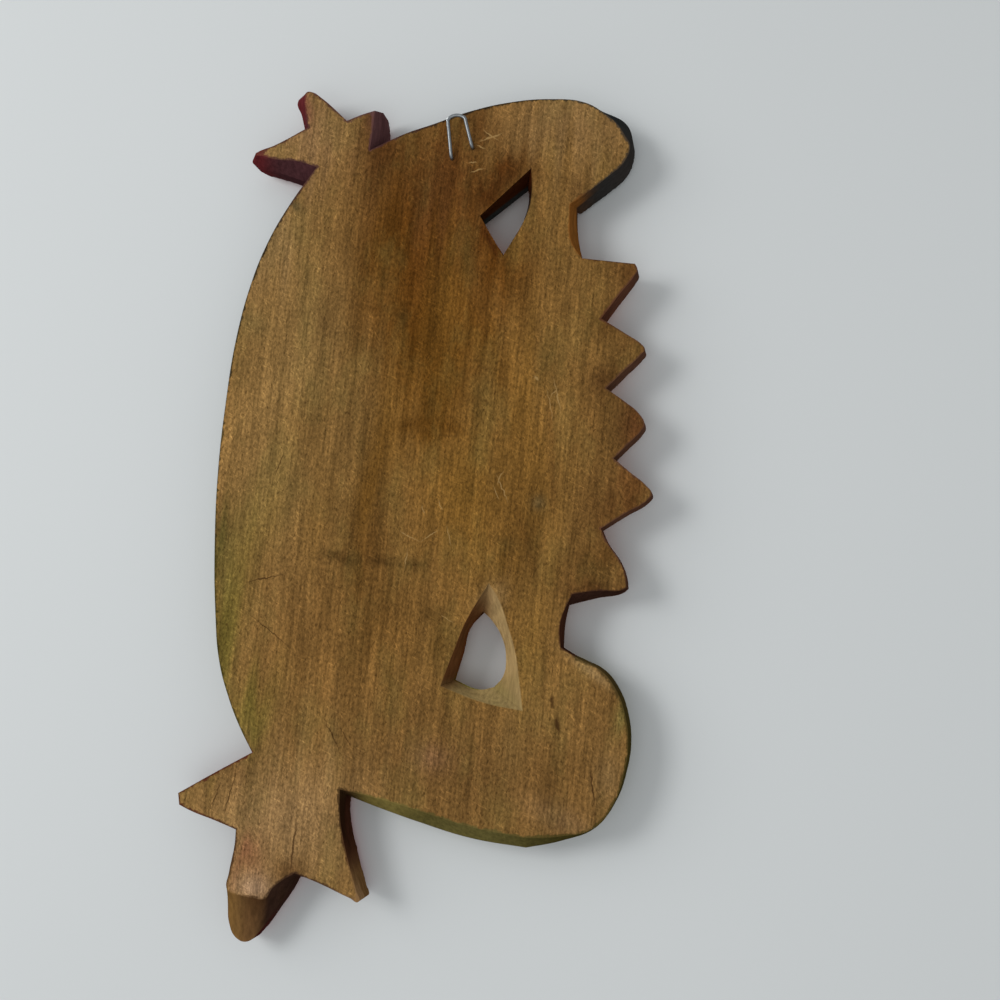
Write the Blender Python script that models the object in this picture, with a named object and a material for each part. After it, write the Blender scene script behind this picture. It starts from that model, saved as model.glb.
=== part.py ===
"""Carved sun and moon wall plaque.

One board is sawn to an outline of a crescent moon, a rayed sun and two stars,
pierced twice beside the sun, trimmed with a knife round the back and carved in
relief on the front.  A bent wire staple near the top of the back hangs it on a nail.

Frame: metres, +Z up, the carved front faces -Y and the flat back faces +Y.  The
origin is the point under the staple's crown that bears on the nail.
"""
import math
from typing import NamedTuple

import bmesh
import bpy
from mathutils import Matrix, Vector

MM = 0.001

# Driving dimensions, in millimetres
GROUND_THICKNESS = 12.0
RELIEF_HEIGHT = 6.0
TRIM_DEPTH = 5.0
MOON_RIM = 0.9
MOON_ROUNDING = 3.6
SUN_CENTRE_X = -20.0
SUN_CENTRE_Z = -109.0
FACE_HALF_WIDTH = 39.0
FACE_HALF_HEIGHT = 51.0
RAY_HALF_WIDTH = 9.5
RAY_RIDGE = 4.0
STAR_HALF_WIDTH = 12.0
STAR_RIDGE = 5.0
STAR_MIDDLE_OVERRUN = 0.25
RAY_ROOT_UNDER_FACE = 0.1
RELIEF_SINK = 0.4
WIRE_DIAMETER = 1.3
LOOP_STANDOFF = 3.5
LOOP_HALF_WIDTH = 3.25
LOOP_BEND_RADIUS = 1.4
LEFT_SHOULDER_DROP = 1.8
RIGHT_SHOULDER_DROP = 1.2
LEG_DEPTH = 9.0
CLEARANCE = 0.3

BACK_Y = -LOOP_STANDOFF
TRIM_Y = BACK_Y - TRIM_DEPTH
GROUND_Y = BACK_Y - GROUND_THICKNESS
RELIEF_Y = GROUND_Y + RELIEF_SINK

# How finely curved stretches of the outlines and the wire are drawn
OUTLINE_STEPS = 4
CRESCENT_STEPS = 2
WIRE_BEVEL_RESOLUTION = 2
BEND_STEPS = 4
CROWN_STEPS = 8
BEND_ANGLE = math.radians(80.0)
ROUNDING_RESOLUTION = 1
DOME_SEGMENTS = 24
DOME_RINGS = 12
WELD_DISTANCE = 1e-6
QUARTER_TURN = math.radians(90.0)


class Knot(NamedTuple):
    """A point of an outline in millimetres, and how far its back edge is trimmed from it."""

    x: float
    z: float
    corner: bool = False
    trim_x: float = 0.0
    trim_z: float = 0.0


# Outline of the board, seen from the back and followed clockwise
MOON_TOP = [
    Knot(30.2, -10.8, True, 2.5, -1.5),
    Knot(20.5, -5.8),
    Knot(10.0, -1.7),
    Knot(-4.0, 3.8),
    Knot(-18.0, 7.5),
    Knot(-33.0, 9.2),
    Knot(-46.0, 8.2),
]
UPPER_HORN = [
    Knot(-55.5, 5.7, False, 1.8, -1.6),
    Knot(-60.8, 2.7, False, 2.6, -2.2),
    Knot(-63.4, -1.8, False, 2.1, -1.8),
    Knot(-63.9, -7.0, False, 0.4, -0.4),
    Knot(-61.8, -13.6),
    Knot(-56.5, -19.2),
    Knot(-50.6, -24.4),
    Knot(-45.6, -29.0, True, 1.6, -0.8),
]
UPPER_NOTCH = [
    Knot(-46.2, -35.5, False, 1.9, -0.5),
    Knot(-47.8, -43.0, False, 2.1, -0.4),
    Knot(-50.0, -49.4, True),
]
RAYS = [
    Knot(-60.0, -50.0),
    Knot(-69.2, -50.5, True),
    Knot(-70.2, -52.6),
    Knot(-69.2, -55.0),
    Knot(-64.2, -62.5),
    Knot(-59.0, -70.9, True),
    Knot(-69.0, -76.3),
    Knot(-73.9, -79.2),
    Knot(-75.3, -81.0),
    Knot(-74.2, -82.9),
    Knot(-68.6, -89.3),
    Knot(-63.0, -95.7, True),
    Knot(-69.6, -99.8),
    Knot(-75.4, -104.0),
    Knot(-77.5, -107.5),
    Knot(-76.5, -110.0),
    Knot(-72.2, -115.2),
    Knot(-67.9, -120.3, True),
    Knot(-73.6, -124.4),
    Knot(-80.2, -129.1),
    Knot(-82.2, -131.6),
    Knot(-81.2, -133.6),
    Knot(-73.5, -139.3),
    Knot(-65.7, -145.2, True),
    Knot(-68.0, -149.4),
    Knot(-73.2, -155.8),
    Knot(-75.9, -161.6),
    Knot(-76.5, -164.8, True),
    Knot(-74.8, -166.4, False, 0.0, 0.6),
    Knot(-66.0, -169.0, False, -0.4, 2.2),
    Knot(-56.2, -172.4, True, -1.7, 3.7),
]
LOWER_NOTCH = [
    Knot(-55.4, -179.0, False, 0.7, 0.0),
    Knot(-55.6, -187.4, True),
]
LOWER_HORN = [
    Knot(-62.0, -190.5),
    Knot(-70.5, -194.0),
    Knot(-76.0, -199.8),
    Knot(-79.6, -207.2),
    Knot(-81.8, -218.0),
    Knot(-81.1, -228.5),
    Knot(-78.6, -238.2),
    Knot(-73.0, -247.2, False, 0.2, 0.4),
    Knot(-62.0, -253.0, False, 0.4, 2.0),
]
MOON_BOTTOM = [
    Knot(-49.6, -257.0, True, 0.3, 4.0),
    Knot(-30.0, -256.2, False, 0.0, 4.6),
    Knot(-10.0, -252.8, False, 0.0, 4.6),
    Knot(5.0, -249.6, False, 0.3, 3.8),
    Knot(16.4, -246.8, True, 1.0, 2.2),
]
LOWER_STAR = [
    Knot(16.2, -254.0),
    Knot(11.6, -268.4),
    Knot(7.4, -278.4),
    Knot(6.2, -281.8),
    Knot(9.6, -281.0),
    Knot(20.0, -277.8),
    Knot(31.2, -277.0, True, -0.9, 1.8),
    Knot(34.0, -283.4, False, 0.0, 5.6),
    Knot(38.0, -290.4, False, -0.2, 9.0),
    Knot(42.6, -298.0, False, -2.4, 12.6),
    Knot(46.6, -302.0, False, -2.0, 16.4),
    Knot(50.8, -301.2, False, -1.4, 15.8),
    Knot(54.0, -296.4, False, -0.8, 11.6),
    Knot(55.1, -289.6, False, -0.6, 5.8),
    Knot(54.4, -278.0),
    Knot(53.5, -268.0),
    Knot(53.7, -263.0, True),
    Knot(62.0, -260.8),
    Knot(71.0, -258.7),
    Knot(76.0, -257.0, True),
    Knot(76.9, -253.0, True),
    Knot(63.0, -243.5),
    Knot(51.0, -235.6, True),
]
MOON_BACK = [
    Knot(57.0, -226.8),
    Knot(62.2, -217.4),
    Knot(67.5, -204.5),
    Knot(71.1, -187.5),
    Knot(74.5, -163.0),
    Knot(76.6, -137.0),
    Knot(76.9, -112.0),
    Knot(75.9, -87.0),
    Knot(72.8, -66.0),
    Knot(68.0, -49.1),
    Knot(61.4, -34.6),
    Knot(54.8, -24.6, True, -2.4, 5.2),
]
UPPER_STAR = [
    Knot(63.8, -21.8, False, -3.2, 4.4),
    Knot(71.0, -20.0, False, -2.2, 3.0),
    Knot(77.6, -18.2, False, -3.2, 2.4),
    Knot(80.0, -16.2, False, -3.0, 1.0),
    Knot(77.8, -14.6, False, -1.6, 0.2),
    Knot(69.9, -11.6),
    Knot(59.8, -5.8, True, -2.3, 1.6),
    Knot(62.4, 2.0, False, -3.1, -0.4),
    Knot(64.6, 8.0, False, -4.4, 0.4),
    Knot(61.8, 9.8, False, -2.0, -0.4),
    Knot(57.6, 9.5),
    Knot(53.6, 7.3),
    Knot(42.8, -1.2, True),
    Knot(37.0, 1.4),
    Knot(30.6, 4.2, True, 1.8, -1.2),
    Knot(29.2, -3.0, False, 3.2, 0.0),
]
OUTLINE = (
    MOON_TOP + UPPER_HORN + UPPER_NOTCH + RAYS + LOWER_NOTCH + LOWER_HORN
    + MOON_BOTTOM + LOWER_STAR + MOON_BACK + UPPER_STAR
)

# The two piercings between the sun and the moon; their back edges are cut wider
UPPER_OPENING = [
    Knot(-11.5, -35.4, True),
    Knot(-27.0, -21.4, True, -1.5, 4.4),
    Knot(-28.0, -27.0, False, -1.6, 0.5),
    Knot(-27.2, -33.5, False, -1.6, 0.0),
    Knot(-21.5, -49.2, True, 0.0, -0.6),
    Knot(-16.4, -42.6),
]
LOWER_OPENING = [
    Knot(-26.3, -177.6, True, -2.0, 9.8),
    Knot(-30.1, -180.8, False, -2.5, 7.2),
    Knot(-34.2, -186.4, False, -2.3, 4.4),
    Knot(-36.1, -192.5, False, -3.8, 2.0),
    Knot(-35.8, -199.4, False, -6.4, -0.6),
    Knot(-33.0, -203.6, True, -11.5, -6.8),
    Knot(-27.0, -205.2, False, -3.0, -3.7),
    Knot(-18.0, -202.8, True, 3.2, -2.2),
    Knot(-20.2, -192.0, False, 1.7, 0.3),
    Knot(-21.6, -184.0, False, 0.3, 1.6),
]

# The crescent's inner edge, which passes under the ray tips
CRESCENT_INNER_EDGE = [
    Knot(-28.5, -14.5, True),
    Knot(-9.0, -33.0, True),
    Knot(18.0, -52.0),
    Knot(37.0, -80.0),
    Knot(43.0, -112.0),
    Knot(36.0, -148.0),
    Knot(16.0, -182.0),
    Knot(-12.5, -207.0, True),
    Knot(-44.5, -213.5, True),
]
# Where the crescent runs on under the two stars
BELOW_LOWER_STAR = [Knot(30.0, -242.0)]
BELOW_UPPER_STAR = [Knot(42.0, -16.5)]

# Tips of the rays that stand free at the board's edge, then of those carved over the moon
FREE_RAY_TIPS = [(-68.6, -53.0), (-73.6, -81.3), (-75.9, -107.6), (-80.4, -131.7), (-75.0, -164.0)]
NECK_RAY_TIPS = [(-36.5, -30.0), (-50.0, -192.0)]
INNER_RAY_COUNT = 8
INNER_RAY_FIRST_ANGLE = 80.0
INNER_RAY_LAST_ANGLE = -84.0
INNER_RAY_REACH_X = 63.0
INNER_RAY_REACH_Z = 76.0

# Each star: its middle, then the tips of the arms that stand clear of the moon
UPPER_STAR_MIDDLE = (50.0, -9.0)
UPPER_STAR_TIPS = [(77.0, -16.0), (61.6, 7.6), (32.0, 1.0)]
LOWER_STAR_MIDDLE = (42.0, -257.0)
LOWER_STAR_TIPS = [(74.5, -254.2), (49.0, -298.0), (9.0, -279.0)]

# Where the staple's legs enter the board, as (x, z)
LEFT_LEG = (1.1, -14.5)
RIGHT_LEG = (-6.2, -10.2)


def start_empty_scene():
    """Remove every object, so that the model stands alone."""
    for item in list(bpy.data.objects):
        bpy.data.objects.remove(item, do_unlink=True)


def new_collection(name):
    """Add a collection to the scene and return it."""
    collection = bpy.data.collections.new(name)
    bpy.context.scene.collection.children.link(collection)
    return collection


def new_material(name, colour, roughness, metallic):
    """Return a Principled BSDF material of one colour, given as linear red, green and blue."""
    material = bpy.data.materials.new(name)
    material.use_nodes = True
    shader = material.node_tree.nodes["Principled BSDF"]
    shader.inputs["Base Color"].default_value = (*colour, 1.0)
    shader.inputs["Roughness"].default_value = roughness
    shader.inputs["Metallic"].default_value = metallic
    return material


def add_object(name, data, collection):
    """Put data in the scene as an object and return it."""
    item = bpy.data.objects.new(name, data)
    collection.objects.link(item)
    return item


def hide_guide(item):
    """Show a cutter or a relief blank as a wire guide that isn't rendered."""
    item.hide_render = True
    item.display_type = "WIRE"


def curve_mesh(curve, name):
    """Return a curve's evaluated mesh, with its loose caps welded on."""
    guide = bpy.data.objects.new(name, curve)
    bpy.context.scene.collection.objects.link(guide)
    evaluated = guide.evaluated_get(bpy.context.evaluated_depsgraph_get())
    mesh = bpy.data.meshes.new_from_object(evaluated)
    bpy.data.objects.remove(guide, do_unlink=True)
    welded = bmesh.new()
    welded.from_mesh(mesh)
    bmesh.ops.remove_doubles(welded, verts=welded.verts, dist=WELD_DISTANCE)
    welded.to_mesh(mesh)
    welded.free()
    return mesh


def outline_curve(name, knots, steps):
    """Return a closed flat Bezier curve through the knots, in the curve's own X and Y."""
    curve = bpy.data.curves.new(name, "CURVE")
    curve.dimensions = "2D"
    curve.fill_mode = "NONE"
    curve.resolution_u = steps
    spline = curve.splines.new("BEZIER")
    spline.bezier_points.add(len(knots) - 1)
    spline.use_cyclic_u = True
    for point, knot in zip(spline.bezier_points, knots):
        point.co = (knot.x * MM, knot.z * MM, 0.0)
        kind = "VECTOR" if knot.corner else "AUTO"
        point.handle_left_type = kind
        point.handle_right_type = kind
    return curve


def outline_loop(name, knots):
    """Return the points of a closed outline in order, as (x, z) in metres."""
    mesh = curve_mesh(outline_curve(name, knots, OUTLINE_STEPS), name)
    points = [(vertex.co.x, vertex.co.y) for vertex in mesh.vertices]
    bpy.data.meshes.remove(mesh)
    return points


def trimmed(knots):
    """Return the knots moved to where the knife left the edge of the back."""
    return [Knot(k.x + k.trim_x, k.z + k.trim_z, k.corner) for k in knots]


def set_in(knots, distance):
    """Return an outline's knots moved a distance into the shape, square to their neighbours."""
    moved = []
    for i, knot in enumerate(knots):
        before = knots[i - 1]
        after = knots[(i + 1) % len(knots)]
        run = Vector((after.x - before.x, after.z - before.z)).normalized()
        moved.append(Knot(knot.x - run.y * distance, knot.z + run.x * distance, knot.corner))
    return moved


def build_ground():
    """Loft the sawn board from its trimmed back, through full size, to the ground of the relief."""
    board = bmesh.new()
    order = board.verts.layers.int.new("order")
    full_size = []
    back_edges = []
    for name, knots in (("outline", OUTLINE), ("upper", UPPER_OPENING), ("lower", LOWER_OPENING)):
        loop = []
        for x, z in outline_loop(name, trimmed(knots)):
            vertex = board.verts.new((x, BACK_Y * MM, z))
            vertex[order] = len(full_size) + len(loop)
            loop.append(vertex)
        back_edges += [board.edges.new((loop[i - 1], loop[i])) for i in range(len(loop))]
        full_size += outline_loop(name, knots)
    bmesh.ops.triangle_fill(board, use_beauty=True, use_dissolve=False, edges=back_edges)
    rim = back_edges
    for level in (TRIM_Y, GROUND_Y):
        grown = bmesh.ops.extrude_edge_only(board, edges=rim)["geom"]
        corners = {item for item in grown if isinstance(item, bmesh.types.BMVert)}
        edges = [item for item in grown if isinstance(item, bmesh.types.BMEdge)]
        rim = [edge for edge in edges if corners.issuperset(edge.verts)]
        for vertex in corners:
            x, z = full_size[vertex[order]]
            vertex.co = (x, level * MM, z)
    bmesh.ops.triangle_fill(board, use_beauty=True, use_dissolve=False, edges=rim)
    bmesh.ops.recalc_face_normals(board, faces=board.faces)
    mesh = bpy.data.meshes.new("carved_board")
    board.to_mesh(mesh)
    board.free()
    return mesh


def add_crescent(collection):
    """Raise the moon as a crescent with rounded edges, set in from the board's edge."""
    around = (
        MOON_TOP[1:] + UPPER_HORN + CRESCENT_INNER_EDGE + LOWER_HORN
        + MOON_BOTTOM[:-1] + BELOW_LOWER_STAR + MOON_BACK[:-1] + BELOW_UPPER_STAR
    )
    curve = outline_curve("crescent", set_in(around, MOON_RIM), CRESCENT_STEPS)
    curve.fill_mode = "BOTH"
    curve.extrude = (RELIEF_HEIGHT - MOON_ROUNDING) * MM
    curve.bevel_depth = MOON_ROUNDING * MM
    curve.bevel_resolution = ROUNDING_RESOLUTION
    curve.offset = -MOON_ROUNDING * MM
    crescent = add_object("crescent", curve_mesh(curve, "crescent"), collection)
    crescent.data.transform(Matrix.Rotation(QUARTER_TURN, 4, "X"))
    crescent.location.y = GROUND_Y * MM
    hide_guide(crescent)


def add_ridge(name, root, tip, half_width, height, collection):
    """Add a four-sided spike along the ground, whose upper half is a ridge that falls to its tip."""
    along = Vector((tip[0] - root[0], 0.0, tip[1] - root[1])) * MM
    side = along.normalized().cross(Vector((0.0, 1.0, 0.0))) * half_width * MM
    rise = Vector((0.0, (height + RELIEF_SINK) * MM, 0.0))
    middle = Vector(((root[0] + tip[0]) / 2, RELIEF_Y, (root[1] + tip[1]) / 2)) * MM
    place = Matrix((side, rise, along)).transposed().to_4x4()
    place.translation = middle
    spike = bmesh.new()
    bmesh.ops.create_cone(
        spike, cap_ends=True, segments=4, radius1=1.0, radius2=0.0, depth=1.0, matrix=place
    )
    bmesh.ops.remove_doubles(spike, verts=spike.verts, dist=WELD_DISTANCE)
    bmesh.ops.recalc_face_normals(spike, faces=spike.faces)
    mesh = bpy.data.meshes.new(name)
    spike.to_mesh(mesh)
    spike.free()
    hide_guide(add_object(name, mesh, collection))


def inner_ray_tips():
    """Return the tips of the rays that are carved over the moon, spread evenly by angle."""
    tips = []
    for i in range(INNER_RAY_COUNT):
        share = i / (INNER_RAY_COUNT - 1)
        turn = INNER_RAY_FIRST_ANGLE + share * (INNER_RAY_LAST_ANGLE - INNER_RAY_FIRST_ANGLE)
        angle = math.radians(turn)
        x = SUN_CENTRE_X + INNER_RAY_REACH_X * math.cos(angle)
        z = SUN_CENTRE_Z + INNER_RAY_REACH_Z * math.sin(angle)
        tips.append((x, z))
    return tips


def add_sun(collection):
    """Raise the sun's oval face as a dome, and a ridge along each ray."""
    dome = bmesh.new()
    dome_height = RELIEF_HEIGHT + RELIEF_SINK
    shape = Matrix.Diagonal((FACE_HALF_WIDTH, dome_height, FACE_HALF_HEIGHT, 1.0 / MM)) * MM
    shape.translation = Vector((SUN_CENTRE_X, RELIEF_Y, SUN_CENTRE_Z)) * MM
    turned = shape @ Matrix.Rotation(QUARTER_TURN, 4, "X")
    bmesh.ops.create_uvsphere(
        dome, u_segments=DOME_SEGMENTS, v_segments=DOME_RINGS, radius=1.0, matrix=turned
    )
    mesh = bpy.data.meshes.new("sun_face")
    dome.to_mesh(mesh)
    dome.free()
    hide_guide(add_object("sun_face", mesh, collection))
    middle = Vector((SUN_CENTRE_X, SUN_CENTRE_Z))
    for i, tip in enumerate(FREE_RAY_TIPS + NECK_RAY_TIPS + inner_ray_tips()):
        towards = Vector(tip) - middle
        rim = math.hypot(towards.x / FACE_HALF_WIDTH, towards.y / FACE_HALF_HEIGHT)
        root = middle + towards / rim * (1.0 - RAY_ROOT_UNDER_FACE)
        add_ridge(f"ray_{i + 1}", root, tip, RAY_HALF_WIDTH, RAY_RIDGE, collection)


def add_star(name, middle, tips, collection):
    """Raise a ridge from a star's middle along each arm that stands clear of the moon."""
    for i, tip in enumerate(tips):
        root = Vector(middle).lerp(Vector(tip), -STAR_MIDDLE_OVERRUN)
        add_ridge(f"{name}_arm_{i + 1}", root, tip, STAR_HALF_WIDTH, STAR_RIDGE, collection)


def staple_path():
    """Return the wire's centre line: up out of the board, over the crown and down again."""
    top = WIRE_DIAMETER / 2
    left = Vector((LOOP_HALF_WIDTH, 0.0, -LEFT_SHOULDER_DROP))
    right = Vector((-LOOP_HALF_WIDTH, 0.0, -RIGHT_SHOULDER_DROP))
    crown = []
    for i in range(1, CROWN_STEPS):
        angle = math.pi * i / CROWN_STEPS
        chord = left.lerp(right, (1.0 - math.cos(angle)) / 2)
        chord.z += (top - chord.z) * math.sin(angle)
        crown.append(chord)
    return leg_points(LEFT_LEG, left) + crown + leg_points(RIGHT_LEG, right)[::-1]


def leg_points(foot, shoulder):
    """Return a leg's centre line from its buried end, round the bend at the board, to its shoulder."""
    end = Vector((foot[0], BACK_Y - LEG_DEPTH, foot[1]))
    mouth = Vector((foot[0], BACK_Y, foot[1]))
    rise = Vector((shoulder.x - mouth.x, 0.0, shoulder.z - mouth.z)).normalized()
    hub = mouth + rise * LOOP_BEND_RADIUS + Vector((0.0, CLEARANCE, 0.0))
    bend = []
    for i in range(BEND_STEPS + 1):
        angle = BEND_ANGLE * i / BEND_STEPS
        out = Vector((0.0, math.sin(angle), 0.0)) - rise * math.cos(angle)
        bend.append(hub + out * LOOP_BEND_RADIUS)
    return [end] + bend + [shoulder]


def wire_curve(name, points, diameter):
    """Return a curve with a round section that follows the points straight from one to the next."""
    curve = bpy.data.curves.new(name, "CURVE")
    curve.dimensions = "3D"
    curve.bevel_depth = diameter / 2 * MM
    curve.bevel_resolution = WIRE_BEVEL_RESOLUTION
    curve.use_fill_caps = True
    spline = curve.splines.new("POLY")
    spline.points.add(len(points) - 1)
    for point, place in zip(spline.points, points):
        point.co = (*(place * MM), 1.0)
    return curve


def add_leg_holes(collection):
    """Add a cutter for each leg's blind hole, a clearance wider and deeper than the wire."""
    for name, foot in (("left_leg_hole", LEFT_LEG), ("right_leg_hole", RIGHT_LEG)):
        bottom = Vector((foot[0], BACK_Y - LEG_DEPTH - CLEARANCE, foot[1]))
        mouth = Vector((foot[0], BACK_Y + CLEARANCE, foot[1]))
        curve = wire_curve(name, [bottom, mouth], WIRE_DIAMETER + 2 * CLEARANCE)
        hide_guide(add_object(name, curve_mesh(curve, name), collection))


def add_boolean(item, name, operation, collection):
    """Join or cut an object with every solid in a collection."""
    boolean = item.modifiers.new(name, "BOOLEAN")
    boolean.operation = operation
    boolean.solver = "EXACT"
    boolean.operand_type = "COLLECTION"
    boolean.collection = collection


def build_board(parts, relief, cutters):
    """Build the one-piece board: the sawn ground, its raised carving and the staple's holes."""
    board = add_object("carved_board", build_ground(), parts)
    board.data.materials.append(new_material("oiled_wood", (0.2, 0.115, 0.045), 0.6, 0.0))
    add_crescent(relief)
    add_sun(relief)
    add_star("upper_star", UPPER_STAR_MIDDLE, UPPER_STAR_TIPS, relief)
    add_star("lower_star", LOWER_STAR_MIDDLE, LOWER_STAR_TIPS, relief)
    add_leg_holes(cutters)
    add_boolean(board, "carving", "UNION", relief)
    add_boolean(board, "leg_holes", "DIFFERENCE", cutters)


def build_staple(parts):
    """Build the hanger: one wire bent to a loop that stands off the back."""
    mesh = curve_mesh(wire_curve("hanger_staple", staple_path(), WIRE_DIAMETER), "hanger_staple")
    staple = add_object("hanger_staple", mesh, parts)
    staple.data.shade_smooth()
    staple.data.materials.clear()
    staple.data.materials.append(new_material("galvanised_wire", (0.55, 0.54, 0.52), 0.35, 1.0))


def main():
    """Build the plaque."""
    start_empty_scene()
    parts = new_collection("sun_and_moon_plaque")
    relief = new_collection("relief_blanks")
    cutters = new_collection("cutters")
    build_board(parts, relief, cutters)
    build_staple(parts)


main()
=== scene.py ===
"""Looks of the carved sun and moon wall plaque.

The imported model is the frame.  A finely cut board with an oiled back and a carved and
painted front stands for the board, and a smoother bent wire for the staple.

Sizes here are millimetres in the part's own frame, and meshes are metres: +Z is up, the
carved front faces -Y and the flat back +Y.
"""
import logging
import math
from dataclasses import dataclass
from enum import IntEnum
from typing import Any, NamedTuple, Sequence

import bmesh
import bpy
import numpy as np
from mathutils import Matrix, Vector, geometry, kdtree, noise

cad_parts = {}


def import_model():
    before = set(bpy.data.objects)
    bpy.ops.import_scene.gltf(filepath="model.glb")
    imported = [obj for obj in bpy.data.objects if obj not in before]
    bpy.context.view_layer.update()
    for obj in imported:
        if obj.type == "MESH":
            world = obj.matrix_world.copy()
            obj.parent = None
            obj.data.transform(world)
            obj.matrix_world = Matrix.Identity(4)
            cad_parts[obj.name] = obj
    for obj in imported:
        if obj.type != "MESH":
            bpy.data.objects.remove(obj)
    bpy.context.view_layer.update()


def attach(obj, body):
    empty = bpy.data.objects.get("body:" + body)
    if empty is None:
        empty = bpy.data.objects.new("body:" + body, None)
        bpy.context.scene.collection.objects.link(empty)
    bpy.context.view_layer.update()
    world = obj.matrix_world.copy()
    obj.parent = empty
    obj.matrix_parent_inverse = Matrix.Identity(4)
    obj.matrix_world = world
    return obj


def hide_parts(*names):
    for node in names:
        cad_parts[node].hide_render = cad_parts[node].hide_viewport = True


LOG = logging.getLogger("plaque")
MM = 0.001
WELD_DISTANCE = 1e-6
EQUAL_TRIANGLE_RISE = math.sqrt(0.75)


class Knot(NamedTuple):
    """A point of an outline in millimetres, and how far its back edge is trimmed from it."""

    x: float
    z: float
    corner: bool = False
    trim_x: float = 0.0
    trim_z: float = 0.0


# Outline of the board, seen from the back and followed clockwise
MOON_TOP = [
    Knot(30.2, -10.8, True, 2.5, -1.5),
    Knot(20.5, -5.8),
    Knot(10.0, -1.7),
    Knot(-4.0, 3.8),
    Knot(-18.0, 7.5),
    Knot(-33.0, 9.2),
    Knot(-46.0, 8.2),
]
UPPER_HORN = [
    Knot(-55.5, 5.7, False, 1.8, -1.6),
    Knot(-60.8, 2.7, False, 2.6, -2.2),
    Knot(-63.4, -1.8, False, 2.1, -1.8),
    Knot(-63.9, -7.0, False, 0.4, -0.4),
    Knot(-61.8, -13.6),
    Knot(-56.5, -19.2),
    Knot(-50.6, -24.4),
    Knot(-45.6, -29.0, True, 1.6, -0.8),
]
UPPER_NOTCH = [
    Knot(-46.2, -35.5, False, 1.9, -0.5),
    Knot(-47.8, -43.0, False, 2.1, -0.4),
    Knot(-50.0, -49.4, True),
]
RAYS = [
    Knot(-60.0, -50.0),
    Knot(-69.2, -50.5, True),
    Knot(-70.2, -52.6),
    Knot(-69.2, -55.0),
    Knot(-64.2, -62.5),
    Knot(-59.0, -70.9, True),
    Knot(-69.0, -76.3),
    Knot(-73.9, -79.2),
    Knot(-75.3, -81.0),
    Knot(-74.2, -82.9),
    Knot(-68.6, -89.3),
    Knot(-63.0, -95.7, True),
    Knot(-69.6, -99.8),
    Knot(-75.4, -104.0),
    Knot(-77.5, -107.5),
    Knot(-76.5, -110.0),
    Knot(-72.2, -115.2),
    Knot(-67.9, -120.3, True),
    Knot(-73.6, -124.4),
    Knot(-80.2, -129.1),
    Knot(-82.2, -131.6),
    Knot(-81.2, -133.6),
    Knot(-73.5, -139.3),
    Knot(-65.7, -145.2, True),
    Knot(-68.0, -149.4),
    Knot(-73.2, -155.8),
    Knot(-75.9, -161.6),
    Knot(-76.5, -164.8, True),
    Knot(-74.8, -166.4, False, 0.0, 0.6),
    Knot(-66.0, -169.0, False, -0.4, 2.2),
    Knot(-56.2, -172.4, True, -1.7, 3.7),
]
LOWER_NOTCH = [
    Knot(-55.4, -179.0, False, 0.7, 0.0),
    Knot(-55.6, -187.4, True),
]
LOWER_HORN = [
    Knot(-62.0, -190.5),
    Knot(-70.5, -194.0),
    Knot(-76.0, -199.8),
    Knot(-79.6, -207.2),
    Knot(-81.8, -218.0),
    Knot(-81.1, -228.5),
    Knot(-78.6, -238.2),
    Knot(-73.0, -247.2, False, 0.2, 0.4),
    Knot(-62.0, -253.0, False, 0.4, 2.0),
]
MOON_BOTTOM = [
    Knot(-49.6, -257.0, True, 0.3, 4.0),
    Knot(-30.0, -256.2, False, 0.0, 4.6),
    Knot(-10.0, -252.8, False, 0.0, 4.6),
    Knot(5.0, -249.6, False, 0.3, 3.8),
    Knot(16.4, -246.8, True, 1.0, 2.2),
]
LOWER_STAR = [
    Knot(16.2, -254.0),
    Knot(11.6, -268.4),
    Knot(7.4, -278.4),
    Knot(6.2, -281.8),
    Knot(9.6, -281.0),
    Knot(20.0, -277.8),
    Knot(31.2, -277.0, True, -0.9, 1.8),
    Knot(34.0, -283.4, False, 0.0, 5.6),
    Knot(38.0, -290.4, False, -0.2, 9.0),
    Knot(42.6, -298.0, False, -2.4, 12.6),
    Knot(46.6, -302.0, False, -2.0, 16.4),
    Knot(50.8, -301.2, False, -1.4, 15.8),
    Knot(54.0, -296.4, False, -0.8, 11.6),
    Knot(55.1, -289.6, False, -0.6, 5.8),
    Knot(54.4, -278.0),
    Knot(53.5, -268.0),
    Knot(53.7, -263.0, True),
    Knot(62.0, -260.8),
    Knot(71.0, -258.7),
    Knot(76.0, -257.0, True),
    Knot(76.9, -253.0, True),
    Knot(63.0, -243.5),
    Knot(51.0, -235.6, True),
]
MOON_BACK = [
    Knot(57.0, -226.8),
    Knot(62.2, -217.4),
    Knot(67.5, -204.5),
    Knot(71.1, -187.5),
    Knot(74.5, -163.0),
    Knot(76.6, -137.0),
    Knot(76.9, -112.0),
    Knot(75.9, -87.0),
    Knot(72.8, -66.0),
    Knot(68.0, -49.1),
    Knot(61.4, -34.6),
    Knot(54.8, -24.6, True, -2.4, 5.2),
]
UPPER_STAR = [
    Knot(63.8, -21.8, False, -3.2, 4.4),
    Knot(71.0, -20.0, False, -2.2, 3.0),
    Knot(77.6, -18.2, False, -3.2, 2.4),
    Knot(80.0, -16.2, False, -3.0, 1.0),
    Knot(77.8, -14.6, False, -1.6, 0.2),
    Knot(69.9, -11.6),
    Knot(59.8, -5.8, True, -2.3, 1.6),
    Knot(62.4, 2.0, False, -3.1, -0.4),
    Knot(64.6, 8.0, False, -4.4, 0.4),
    Knot(61.8, 9.8, False, -2.0, -0.4),
    Knot(57.6, 9.5),
    Knot(53.6, 7.3),
    Knot(42.8, -1.2, True),
    Knot(37.0, 1.4),
    Knot(30.6, 4.2, True, 1.8, -1.2),
    Knot(29.2, -3.0, False, 3.2, 0.0),
]
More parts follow.
